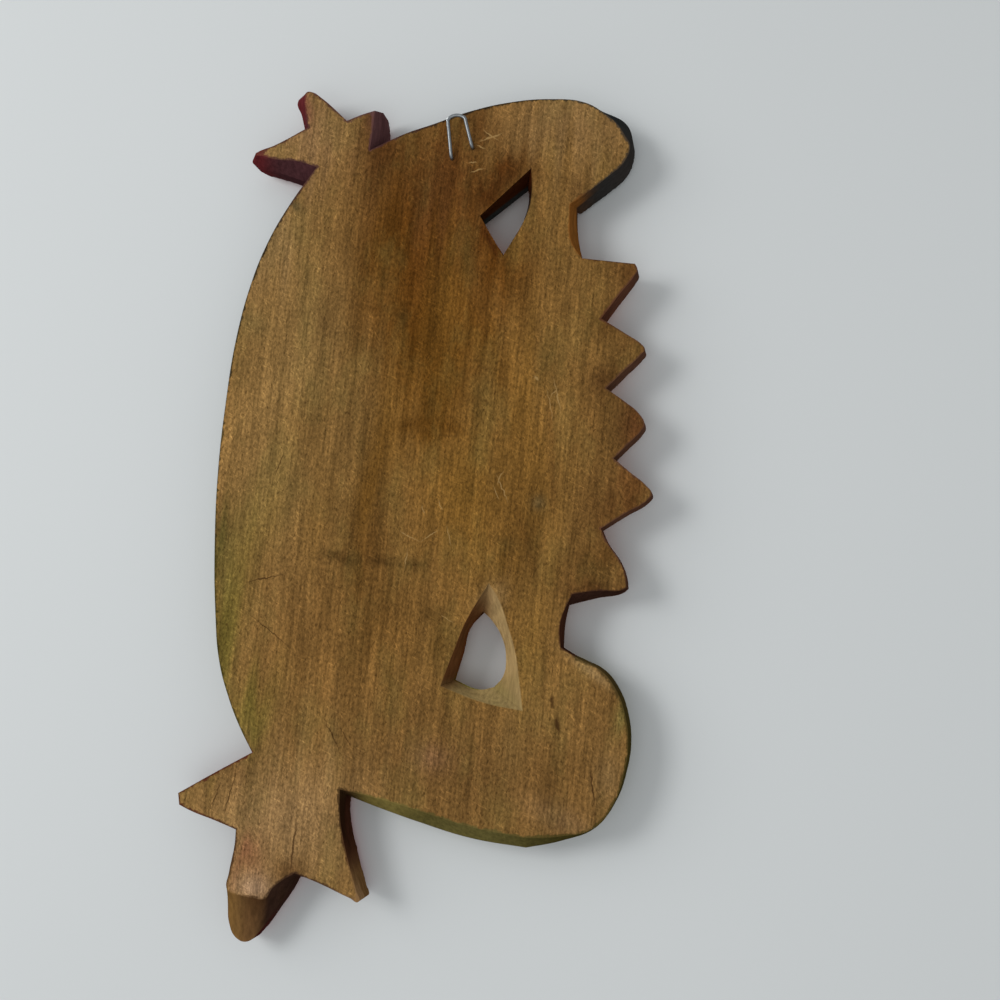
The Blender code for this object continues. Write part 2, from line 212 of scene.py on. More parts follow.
OUTLINE = (
    MOON_TOP + UPPER_HORN + UPPER_NOTCH + RAYS + LOWER_NOTCH + LOWER_HORN
    + MOON_BOTTOM + LOWER_STAR + MOON_BACK + UPPER_STAR
)

# The two piercings between the sun and the moon; their back edges are cut wider
UPPER_OPENING = [
    Knot(-11.5, -35.4, True),
    Knot(-27.0, -21.4, True, -1.5, 4.4),
    Knot(-28.0, -27.0, False, -1.6, 0.5),
    Knot(-27.2, -33.5, False, -1.6, 0.0),
    Knot(-21.5, -49.2, True, 0.0, -0.6),
    Knot(-16.4, -42.6),
]
LOWER_OPENING = [
    Knot(-26.3, -177.6, True, -2.0, 9.8),
    Knot(-30.1, -180.8, False, -2.5, 7.2),
    Knot(-34.2, -186.4, False, -2.3, 4.4),
    Knot(-36.1, -192.5, False, -3.8, 2.0),
    Knot(-35.8, -199.4, False, -6.4, -0.6),
    Knot(-33.0, -203.6, True, -11.5, -6.8),
    Knot(-27.0, -205.2, False, -3.0, -3.7),
    Knot(-18.0, -202.8, True, 3.2, -2.2),
    Knot(-20.2, -192.0, False, 1.7, 0.3),
    Knot(-21.6, -184.0, False, 0.3, 1.6),
]

# The crescent's inner edge, which passes under the ray tips
CRESCENT_INNER_EDGE = [
    Knot(-28.5, -14.5, True),
    Knot(-9.0, -33.0, True),
    Knot(18.0, -52.0),
    Knot(37.0, -80.0),
    Knot(43.0, -112.0),
    Knot(36.0, -148.0),
    Knot(16.0, -182.0),
    Knot(-12.5, -207.0, True),
    Knot(-44.5, -213.5, True),
]
# Where the crescent runs on under the two stars
BELOW_LOWER_STAR = [Knot(30.0, -242.0)]
BELOW_UPPER_STAR = [Knot(42.0, -16.5)]

# Tips of the rays that stand free at the board's edge, then of those carved over the moon
FREE_RAY_TIPS = [(-68.6, -53.0), (-73.6, -81.3), (-75.9, -107.6), (-80.4, -131.7), (-75.0, -164.0)]
NECK_RAY_TIPS = [(-36.5, -30.0), (-50.0, -192.0)]
INNER_RAY_COUNT = 8
INNER_RAY_FIRST_ANGLE = 80.0
INNER_RAY_LAST_ANGLE = -84.0
INNER_RAY_REACH_X = 63.0
INNER_RAY_REACH_Z = 76.0

# Each star: its middle, then the tips of the arms that stand clear of the moon
UPPER_STAR_MIDDLE = (50.0, -9.0)
UPPER_STAR_TIPS = [(77.0, -16.0), (61.6, 7.6), (32.0, 1.0)]
LOWER_STAR_MIDDLE = (42.0, -257.0)
LOWER_STAR_TIPS = [(74.5, -254.2), (49.0, -298.0), (9.0, -279.0)]

# The two arms of each star that lie over the moon
UPPER_STAR_HIDDEN_TIPS = [(34.0, -25.0), (57.0, -30.0)]
LOWER_STAR_HIDDEN_TIPS = [(48.0, -229.0), (20.0, -238.0)]


class Side(IntEnum):
    """Which surface of the board a face belongs to."""

    BACK = 0
    EDGE = 1
    FRONT = 2


class Region(IntEnum):
    """What the carved front shows at a point."""

    GROUND = 0
    RAY = 1
    FACE = 2
    MOON = 3
    STAR = 4


def linear(hex_colour: str) -> tuple[float, float, float]:
    """Turn a colour to linear light.

    Args:
        hex_colour: sRGB red, green and blue, such as "#7a5a30".

    Returns:
        Linear red, green and blue from 0 to 1.
    """
    channels = [int(hex_colour[i:i + 2], 16) / 255.0 for i in (1, 3, 5)]
    red, green, blue = (c / 12.92 if c <= 0.04045 else ((c + 0.055) / 1.055) ** 2.4 for c in channels)
    return red, green, blue


def add_node(
    tree: bpy.types.NodeTree, kind: str, inputs: dict[Any, Any], **settings: Any
) -> bpy.types.Node:
    """Add a shader node with its settings and links.

    Args:
        tree: Node tree to add to.
        kind: Blender's name for the kind of node.
        inputs: For each input, by name or number, a socket to link from or a plain value.
        settings: The node's own properties.

    Returns:
        The new node.
    """
    node = tree.nodes.new(kind)
    for name, value in settings.items():
        setattr(node, name, value)
    for key, value in inputs.items():
        if isinstance(value, bpy.types.NodeSocket):
            tree.links.new(value, node.inputs[key])
        else:
            node.inputs[key].default_value = value
    return node


def new_material(name: str) -> tuple[bpy.types.Material, bpy.types.NodeTree, bpy.types.Node]:
    """Start a node material.

    Args:
        name: Name of the material.

    Returns:
        The material, its node tree and its output node.
    """
    material = bpy.data.materials.new(name)
    material.use_nodes = True
    tree = material.node_tree
    tree.nodes.clear()
    return material, tree, tree.nodes.new("ShaderNodeOutputMaterial")


def add_piece(name: str, mesh: bpy.types.Mesh, *materials: bpy.types.Material) -> bpy.types.Object:
    """Put a finished mesh in the scene at the origin.

    Args:
        name: Name of the piece.
        mesh: Its mesh, in metres.
        materials: Its finishes, in the order that its faces number them.

    Returns:
        The new object.
    """
    for material in materials:
        mesh.materials.append(material)
    piece = bpy.data.objects.new(name, mesh)
    bpy.context.scene.collection.objects.link(piece)
    LOG.info("%s: %d faces", name, len(mesh.polygons))
    return piece


def curve_mesh(curve: bpy.types.Curve) -> bpy.types.Mesh:
    """Return a curve's mesh with its seams welded, and remove the curve."""
    guide = bpy.data.objects.new(curve.name, curve)
    bpy.context.scene.collection.objects.link(guide)
    evaluated = guide.evaluated_get(bpy.context.evaluated_depsgraph_get())
    mesh = bpy.data.meshes.new_from_object(evaluated)
    bpy.data.objects.remove(guide, do_unlink=True)
    bpy.data.curves.remove(curve)
    welded = bmesh.new()
    welded.from_mesh(mesh)
    bmesh.ops.remove_doubles(welded, verts=welded.verts, dist=WELD_DISTANCE)
    welded.to_mesh(mesh)
    welded.free()
    return mesh


def outline_points(knots: Sequence[Knot], steps: int) -> np.ndarray:
    """Follow a closed outline, smooth through its knots and sharp at its corners.

    Args:
        knots: The outline's knots in order.
        steps: Points for each stretch between two knots.

    Returns:
        The points in order, as rows of x and z in millimetres.
    """
    curve = bpy.data.curves.new("outline", "CURVE")
    curve.dimensions = "2D"
    curve.fill_mode = "NONE"
    curve.resolution_u = steps
    spline = curve.splines.new("BEZIER")
    spline.bezier_points.add(len(knots) - 1)
    spline.use_cyclic_u = True
    for point, knot in zip(spline.bezier_points, knots):
        point.co = (knot.x * MM, knot.z * MM, 0.0)
        kind = "VECTOR" if knot.corner else "AUTO"
        point.handle_left_type = kind
        point.handle_right_type = kind
    mesh = curve_mesh(curve)
    points = np.array([vertex.co[:2] for vertex in mesh.vertices]) / MM
    bpy.data.meshes.remove(mesh)
    return points


def trimmed(knots: Sequence[Knot]) -> list[Knot]:
    """Return the knots moved to where the knife left the edge of the back."""
    return [Knot(k.x + k.trim_x, k.z + k.trim_z, k.corner) for k in knots]


def inside(points: np.ndarray, loop: np.ndarray) -> np.ndarray:
    """Tell which points lie inside a closed loop.

    Args:
        points: Rows of x and z.
        loop: Rows of x and z in order round the loop.

    Returns:
        One truth value for each point.
    """
    found = np.zeros(len(points), bool)
    for (x0, z0), (x1, z1) in zip(loop, np.roll(loop, -1, axis=0)):
        if z0 == z1:
            continue
        crosses = (z0 > points[:, 1]) != (z1 > points[:, 1])
        reach = x0 + (points[:, 1] - z0) * (x1 - x0) / (z1 - z0)
        found ^= crosses & (points[:, 0] < reach)
    return found


def nearest(points: np.ndarray, targets: np.ndarray) -> tuple[np.ndarray, np.ndarray]:
    """Find the nearest target to each point.

    Args:
        points: Rows of x and z.
        targets: Rows of x and z.

    Returns:
        The index of each point's nearest target, and the distance to it.
    """
    tree = kdtree.KDTree(len(targets))
    for i, (x, z) in enumerate(targets):
        tree.insert((x, z, 0.0), i)
    tree.balance()
    hits = [tree.find((x, z, 0.0)) for x, z in points]
    return np.array([hit[1] for hit in hits]), np.array([hit[2] for hit in hits])


def smooth_step(low: float, high: float, value: np.ndarray) -> np.ndarray:
    """Rise from 0 at low to 1 at high without corners."""
    share = np.clip((value - low) / (high - low), 0.0, 1.0)
    return share * share * (3.0 - 2.0 * share)


def bump(u: np.ndarray, v: np.ndarray, reach_u: float, reach_v: float) -> np.ndarray:
    """Return a round soft mound of height 1 over the given reaches."""
    return np.exp(-((u / reach_u) ** 2) - (v / reach_v) ** 2)


def band(offset: np.ndarray, half_width: float | np.ndarray) -> np.ndarray:
    """Return a soft band of height 1 along a line, from how far off the line points lie."""
    return np.exp(-((offset / half_width) ** 2))


@dataclass
class Spike:
    """A ray or a star's arm: a ridge from its root that narrows and falls to its tip."""

    root: tuple[float, float]
    tip: tuple[float, float]
    half_width: float
    root_slack: float = 0.02

    def ridge(self, points: np.ndarray) -> np.ndarray:
        """Measure how high on the spike each point lies.

        Args:
            points: Rows of x and z.

        Returns:
            1 on the ridge at the root, 0 at the spike's foot and tip, and below 0 outside it.
        """
        along = np.array(self.tip) - np.array(self.root)
        length = np.linalg.norm(along)
        along = along / length
        offset = points - np.array(self.root)
        share = offset @ along / length
        across = np.abs(offset @ np.array((-along[1], along[0]))) / self.half_width
        height = 1.0 - share - across
        return np.where(share < -self.root_slack, -1.0, height)


@dataclass
class SunFace:
    """The sun's oval face: a low dome with plain folk features, alike on both sides."""

    centre_x: float = -20.0
    centre_z: float = -109.0
    half_width: float = 39.0
    half_height: float = 51.0
    rim_depth: float = 15.0
    dome_rise: float = 1.2
    border_at: float = 0.9
    border_width: float = 0.022
    border_cut: float = 1.1
    eye_out: float = 14.0
    eye_up: float = 7.5
    eye_half_width: float = 7.6
    eye_half_height: float = 4.4
    eye_almond: float = 1.6
    eye_rise: float = 1.5
    lid_at: float = 1.18
    lid_width: float = 0.16
    lid_rise: float = 0.8
    socket_up: float = 1.0
    socket_reach: tuple[float, float] = (10.0, 6.5)
    socket_cut: float = 1.7
    brow_up: float = 19.0
    brow_arch: float = 0.016
    brow_half_height: float = 1.7
    brow_inner_end: tuple[float, float] = (3.0, 6.0)
    brow_outer_end: tuple[float, float] = (22.0, 27.0)
    brow_rise: float = 1.1
    nose_top: float = 9.0
    nose_tip: float = -13.0
    nose_top_fade: float = 9.0
    nose_tip_fade: tuple[float, float] = (-3.0, 1.0)
    nose_bridge_rise: float = 0.6
    nose_tip_rise: float = 1.3
    nose_bridge_half_width: float = 2.4
    nose_flare: float = 2.2
    nostril_out: float = 4.6
    nostril_up: float = 1.0
    nostril_reach: tuple[float, float] = (2.2, 2.4)
    nostril_rise: float = 0.8
    mouth_up: float = -25.5
    mouth_half_width: float = 12.5
    mouth_smile: float = 0.014
    mouth_groove: float = 0.75
    mouth_cut: float = 0.8
    lip_up: float = 1.9
    lip_half_height: float = 1.5
    lip_rise: float = 1.2
    cheek_out: float = 19.0
    cheek_up: float = -12.0
    cheek_reach: float = 9.0
    cheek_rise: float = 1.3
    chin_up: float = -38.0
    chin_reach: tuple[float, float] = (9.0, 6.0)
    chin_rise: float = 1.1

    def local(self, points: np.ndarray) -> tuple[np.ndarray, np.ndarray]:
        """Return how far out from the middle line and how far up from the centre points lie."""
        return np.abs(points[:, 0] - self.centre_x), points[:, 1] - self.centre_z

    def rim(self, points: np.ndarray) -> np.ndarray:
        """Return 0 at the centre, 1 on the oval's edge and more outside it."""
        out, up = self.local(points)
        return np.hypot(out / self.half_width, up / self.half_height)

    def eye(self, points: np.ndarray) -> np.ndarray:
        """Return 0 at the middle of an eye, 1 on its almond edge and more outside it."""
        out, up = self.local(points)
        u = np.abs(out - self.eye_out) / self.eye_half_width
        v = np.abs(up - self.eye_up) / self.eye_half_height
        return u ** self.eye_almond + v

    def brow(self, points: np.ndarray) -> np.ndarray:
        """Return 1 along the arched brow, falling to 0 beside it and at its ends."""
        out, up = self.local(points)
        arch = self.brow_up - self.brow_arch * (out - self.eye_out) ** 2
        ends = smooth_step(*self.brow_inner_end, out) * (1.0 - smooth_step(*self.brow_outer_end, out))
        return band(up - arch, self.brow_half_height) * ends

    def lips(self, points: np.ndarray) -> tuple[np.ndarray, np.ndarray]:
        """Return the fullness of the two lips, and the groove between them."""
        out, up = self.local(points)
        line = up - self.mouth_up - self.mouth_smile * out ** 2
        width = np.clip(1.0 - (out / self.mouth_half_width) ** 2, 0.0, 1.0)
        full = band(np.abs(line) - self.lip_up, self.lip_half_height) * width
        groove = band(line, self.mouth_groove) * np.sqrt(width)
        return full, groove

    def cheek(self, points: np.ndarray, reach: float) -> np.ndarray:
        """Return 1 at the middle of a cheek, falling to 0 over the given reach."""
        out, up = self.local(points)
        return bump(out - self.cheek_out, up - self.cheek_up, reach, reach)

    def nose(self, points: np.ndarray) -> np.ndarray:
        """Return the height of the nose and its nostrils, which widen towards the tip."""
        out, up = self.local(points)
        share = np.clip((self.nose_top - up) / (self.nose_top - self.nose_tip), 0.0, 1.0)
        ridge = band(out, self.nose_bridge_half_width + self.nose_flare * share)
        ridge *= self.nose_bridge_rise + self.nose_tip_rise * share
        ridge *= smooth_step(*(self.nose_tip + fade for fade in self.nose_tip_fade), up)
        ridge *= 1.0 - smooth_step(self.nose_top, self.nose_top + self.nose_top_fade, up)
        nostril = bump(out - self.nostril_out, up - self.nose_tip - self.nostril_up, *self.nostril_reach)
        return ridge + self.nostril_rise * nostril

    def depth(self, points: np.ndarray) -> np.ndarray:
        """Measure the face's depth below the back of the board.

        Args:
            points: Rows of x and z.

        Returns:
            Depths in millimetres, 0 outside the oval.
        """
        out, up = self.local(points)
        rim = self.rim(points)
        eye = self.eye(points)
        full, groove = self.lips(points)
        depth = self.rim_depth + self.dome_rise * np.sqrt(np.clip(1.0 - rim ** 2, 0.0, 1.0))
        depth -= self.border_cut * band(rim - self.border_at, self.border_width)
        depth += self.nose(points)
        depth -= self.socket_cut * bump(
            out - self.eye_out, up - self.eye_up - self.socket_up, *self.socket_reach
        )
        depth += self.eye_rise * np.sqrt(np.clip(1.0 - eye, 0.0, 1.0))
        depth += self.lid_rise * band(eye - self.lid_at, self.lid_width)
        depth += self.brow_rise * self.brow(points) + self.lip_rise * full - self.mouth_cut * groove
        depth += self.cheek_rise * self.cheek(points, self.cheek_reach)
        depth += self.chin_rise * bump(out, up - self.chin_up, *self.chin_reach)
        return np.where(rim < 1.0, depth, 0.0)


@dataclass
class Carving:
    """The relief of the front, and the paint on each part of it."""

    ground_depth: float = 10.6
    deepest: float = 17.9
    ray_half_width: float = 11.5
    ray_root_share: float = 0.95
    ray_foot_rise: float = 1.0
    ray_rise: float = 3.2
    moon_edge_depth: float = 12.4
    horn_edge_depth: float = 16.6
    moon_full_depth: float = 17.6
    moon_round: float = 10.0
    moon_line_in: float = 8.0
    moon_line_width: float = 0.8
    moon_line_cut: float = 0.9
    moon_under_star_depth: float = 14.4
    moon_fade: tuple[float, float] = (-40.0, -200.0)
    horn_span: tuple[float, float] = (28.0, 50.0)
    crescent_steps: int = 16
    star_steps: int = 8
    star_foot: float = 0.04
    star_edge_depth: float = 14.6
    star_rise: float = 3.2
    star_half_width: float = 14.0
    sun_paint: str = "#a9702a"
    cheek_paint: str = "#a4552c"
    cheek_paint_cover: float = 0.75
    cheek_paint_reach: float = 8.0
    border_paint_span: tuple[float, float] = (0.88, 0.93)
    lip_paint: str = "#7c2a20"
    lip_paint_cover: float = 1.6
    brow_paint: str = "#3f2416"
    brow_paint_cover: float = 1.5
    lid_paint_at: float = 1.02
    lid_paint_width: float = 0.12
    pupil_edge: tuple[float, float] = (2.0, 2.8)
    eye_paint: str = "#cdb88a"
    eye_paint_edge: tuple[float, float] = (0.8, 0.95)
    ray_paint: str = "#87452d"
    ground_paint: str = "#5a3424"
    moon_top_paint: str = "#1d2826"
    moon_low_paint: str = "#605628"
    star_paint: str = "#782c2d"

    def __post_init__(self) -> None:
        """Lay out the crescent, the rays and the stars."""
        self.face = SunFace()
        around = (
            MOON_TOP[1:] + UPPER_HORN + CRESCENT_INNER_EDGE + LOWER_HORN
            + MOON_BOTTOM[:-1] + BELOW_LOWER_STAR + MOON_BACK[:-1] + BELOW_UPPER_STAR
        )
        self.crescent = outline_points(around, self.crescent_steps)
        tips = FREE_RAY_TIPS + NECK_RAY_TIPS + self.inner_ray_tips()
        self.rays = [Spike(self.ray_root(tip), tip, self.ray_half_width) for tip in tips]
        upper = UPPER_STAR_TIPS + UPPER_STAR_HIDDEN_TIPS
        lower = LOWER_STAR_TIPS + LOWER_STAR_HIDDEN_TIPS
        self.arms = [Spike(UPPER_STAR_MIDDLE, tip, self.star_half_width) for tip in upper]
        self.arms += [Spike(LOWER_STAR_MIDDLE, tip, self.star_half_width) for tip in lower]
        self.star_fields = [
            outline_points([MOON_BACK[-1]] + UPPER_STAR + [MOON_TOP[0]], self.star_steps),
            outline_points([MOON_BOTTOM[-1]] + LOWER_STAR, self.star_steps),
        ]

    def inner_ray_tips(self) -> list[tuple[float, float]]:
        """Return the tips of the rays that are carved over the moon, spread evenly by angle."""
        turns = np.linspace(INNER_RAY_FIRST_ANGLE, INNER_RAY_LAST_ANGLE, INNER_RAY_COUNT)
        middle = (self.face.centre_x, self.face.centre_z)
        return [
            (middle[0] + INNER_RAY_REACH_X * math.cos(t), middle[1] + INNER_RAY_REACH_Z * math.sin(t))
            for t in np.radians(turns)
        ]

    def ray_root(self, tip: tuple[float, float]) -> tuple[float, float]:
        """Return the point just inside the face's edge that a ray starts from."""
        middle = np.array((self.face.centre_x, self.face.centre_z))
        towards = np.array(tip) - middle
        rim = math.hypot(towards[0] / self.face.half_width, towards[1] / self.face.half_height)
        x, z = middle + towards / rim * self.ray_root_share
        return x, z

    def survey(self, points: np.ndarray) -> tuple[np.ndarray, np.ndarray]:
        """Measure the carving.

        Args:
            points: Rows of x and z.

        Returns:
            The depth of the front below the back in millimetres, and the region, at each point.
        """
        ray = np.max([spike.ridge(points) for spike in self.rays], axis=0)
        on_ray = (ray > 0.0) & (self.face.rim(points) > 1.0)
        ray_foot = self.ground_depth + self.ray_foot_rise
        ray_depth = np.where(on_ray, ray_foot + self.ray_rise * ray, 0.0)
        star = np.max([arm.ridge(points) for arm in self.arms], axis=0)
        in_star = np.any([inside(points, field) for field in self.star_fields], axis=0)
        in_star |= star > self.star_foot
        star_depth = self.star_edge_depth + self.star_rise * np.clip(star, 0.0, 1.0)
        moon_depth = self.moon_depth(points)
        layers = np.array([
            np.full(len(points), self.ground_depth),
            ray_depth,
            self.face.depth(points),
            np.where(in_star, np.minimum(moon_depth, self.moon_under_star_depth), moon_depth),
            np.where(in_star, star_depth, 0.0),
        ])
        region = np.argmax(layers, axis=0)
        return np.minimum(np.max(layers, axis=0), self.deepest), region

    def moon_depth(self, points: np.ndarray) -> np.ndarray:
        """Measure the rounded crescent's depth, 0 outside it."""
        hit, distance = nearest(points, self.crescent)
        horns = np.array([(knot.x, knot.z) for knot in (UPPER_HORN[-1], LOWER_HORN[0])])
        first, last = nearest(horns, self.crescent)[0]
        outer = (hit < first) | (hit >= last)
        horn = smooth_step(*self.horn_span, -points[:, 0])
        edge = self.moon_edge_depth + (self.horn_edge_depth - self.moon_edge_depth) * horn
        share = np.clip(distance / self.moon_round, 0.0, 1.0)
        depth = edge + (self.moon_full_depth - edge) * np.sqrt(1.0 - (1.0 - share) ** 2)
        depth -= self.moon_line_cut * band(distance - self.moon_line_in, self.moon_line_width) * outer
        return np.where(inside(points, self.crescent), depth, 0.0)

    def pigment(self, points: np.ndarray) -> np.ndarray:
        """Mix the paint.

        Args:
            points: Rows of x and z.

        Returns:
            Rows of linear red, green and blue.
        """
        region = self.survey(points)[1]
        fall = smooth_step(*self.moon_fade, points[:, 1])[:, None]
        moon_top = np.array(linear(self.moon_top_paint))
        moon_low = np.array(linear(self.moon_low_paint))
        moon = moon_top * (1.0 - fall) + moon_low * fall
        colours = np.zeros((len(points), 3))
        for part, paint in (
            (Region.GROUND, self.ground_paint), (Region.RAY, self.ray_paint),
            (Region.FACE, self.sun_paint), (Region.STAR, self.star_paint),
        ):
            colours[region == part] = linear(paint)
        colours[region == Region.MOON] = moon[region == Region.MOON]
        return np.where((region == Region.FACE)[:, None], self.face_pigment(points, colours), colours)

    def face_pigment(self, points: np.ndarray, colours: np.ndarray) -> np.ndarray:
        """Paint the face's cheeks, lips, brows and eyes over its ground colour."""
        out, up = self.face.local(points)
        eye = self.face.eye(points)
        pupil = np.hypot(out - self.face.eye_out, up - self.face.eye_up)
        lips, groove = self.face.lips(points)
        coats = (
            (self.cheek_paint, self.cheek_paint_cover * self.face.cheek(points, self.cheek_paint_reach)),
            (self.cheek_paint, smooth_step(*self.border_paint_span, self.face.rim(points))),
            (self.lip_paint, np.clip(self.lip_paint_cover * np.maximum(lips, groove), 0.0, 1.0)),
            (self.brow_paint, np.clip(self.brow_paint_cover * self.face.brow(points), 0.0, 1.0)),
            (self.brow_paint, band(eye - self.lid_paint_at, self.lid_paint_width)),
            (self.eye_paint, 1.0 - smooth_step(*self.eye_paint_edge, eye)),
            (self.brow_paint, 1.0 - smooth_step(*self.pupil_edge, pupil)),
        )
        mixed = colours
        for paint, cover in coats:
            mixed = mixed + (np.array(linear(paint)) - mixed) * cover[:, None]
        return mixed


class Tint(NamedTuple):
    """A soft patch of colour: its middle, its reaches, its turn in degrees and its strength."""

    x: float
    z: float
    reach_x: float
    reach_z: float
    turn: float
    colour: str
    strength: float


class Scratch(NamedTuple):
    """A narrow mark from one point to another."""

    x0: float
    z0: float
    x1: float
    z1: float
    width: float


# Broad stains of the oiled back, which bleed along the grain, laid one over the other
BACK_TINTS = [
    Tint(-20.0, -120.0, 60.0, 130.0, 0.0, "#745224", 0.6),
    Tint(50.0, -110.0, 26.0, 90.0, 0.0, "#83663c", 0.8),
    Tint(-40.0, 0.0, 26.0, 16.0, 0.0, "#85663f", 0.85),
    Tint(56.0, -6.0, 16.0, 18.0, 0.0, "#896945", 0.85),
    Tint(14.0, -40.0, 24.0, 44.0, 0.0, "#54320d", 0.95),
    Tint(11.0, -78.0, 19.0, 28.0, 0.0, "#53320d", 0.85),
    Tint(-1.0, -96.0, 12.0, 26.0, 0.0, "#5c3a10", 0.85),
    Tint(-17.0, -84.0, 6.0, 30.0, -30.0, "#5f3d12", 0.6),
    Tint(0.0, -22.0, 13.0, 30.0, 0.0, "#5b3517", 0.8),
    Tint(-17.0, -19.0, 12.0, 6.0, -32.0, "#553012", 0.9),
    Tint(-14.0, -42.0, 6.0, 10.0, 30.0, "#5c3412", 0.7),
    Tint(15.0, -114.0, 7.0, 22.0, 0.0, "#86602c", 0.7),
    Tint(-18.0, -140.0, 20.0, 24.0, 0.0, "#775421", 0.6),
    Tint(-36.0, -104.0, 7.0, 34.0, -8.0, "#7d5926", 0.6),
    Tint(66.0, -195.0, 7.0, 45.0, 12.0, "#5c5a22", 0.7),
    Tint(54.0, -225.0, 7.0, 16.0, 28.0, "#625e24", 0.7),
    Tint(30.0, -190.0, 34.0, 40.0, 0.0, "#714f27", 0.5),
    Tint(-20.0, -232.0, 40.0, 20.0, 0.0, "#6e4f2b", 0.6),
    Tint(-60.0, -236.0, 24.0, 18.0, 0.0, "#664724", 0.35),
    Tint(36.0, -260.0, 28.0, 22.0, 0.0, "#92724a", 0.9),
    Tint(-76.0, -82.0, 8.0, 90.0, 0.0, "#553318", 0.9),
    Tint(-66.0, -165.0, 10.0, 7.0, 0.0, "#54351a", 0.8),
    Tint(48.0, -272.0, 6.0, 7.0, 0.0, "#87503c", 0.5),
    Tint(29.0, -10.0, 12.0, 19.0, 0.0, "#4a2d14", 0.9),
    Tint(-22.0, -56.0, 11.0, 22.0, 0.0, "#5b340d", 0.85),
    Tint(-1.0, -72.0, 6.0, 28.0, 0.0, "#6d4b1e", 0.75),
    Tint(18.0, -138.0, 5.0, 24.0, 0.0, "#5b3c12", 0.7),
    Tint(16.0, -164.0, 6.0, 13.0, 0.0, "#553817", 0.7),
    Tint(36.0, -147.0, 10.0, 18.0, 0.0, "#6b4e25", 0.6),
    Tint(-43.0, -140.0, 5.0, 18.0, 0.0, "#5e421c", 0.55),
    Tint(-68.0, -56.0, 11.0, 9.0, 0.0, "#54361a", 0.8),
    Tint(72.0, -170.0, 5.0, 18.0, 4.0, "#4f4a22", 0.75),
    Tint(-35.0, -150.0, 6.0, 24.0, 0.0, "#5d401a", 0.6),
    Tint(8.0, -186.0, 10.0, 18.0, 0.0, "#60431e", 0.55),
    Tint(42.0, -118.0, 15.0, 18.0, 0.0, "#6d4f27", 0.5),
    Tint(-42.0, -222.0, 6.0, 14.0, 0.0, "#7f6136", 0.6),
    Tint(-45.0, -186.0, 6.0, 18.0, 0.0, "#85632f", 0.6),
    Tint(-69.0, -132.0, 11.0, 10.0, 0.0, "#503218", 0.7),
    Tint(-66.0, -152.0, 9.0, 10.0, 0.0, "#573b1b", 0.7),
    Tint(-58.0, -112.0, 6.0, 9.0, 0.0, "#5d4120", 0.5),
    Tint(-15.0, -134.0, 7.0, 15.0, 0.0, "#7d5a27", 0.6),
    Tint(7.0, -28.0, 9.0, 13.0, 0.0, "#5f3f20", 0.5),
    Tint(23.0, -54.0, 6.0, 13.0, 0.0, "#4f320f", 0.5),
    Tint(66.0, -52.0, 7.0, 16.0, 12.0, "#94754c", 0.6),
    Tint(-51.0, -150.0, 4.0, 26.0, 0.0, "#83612f", 0.55),
]

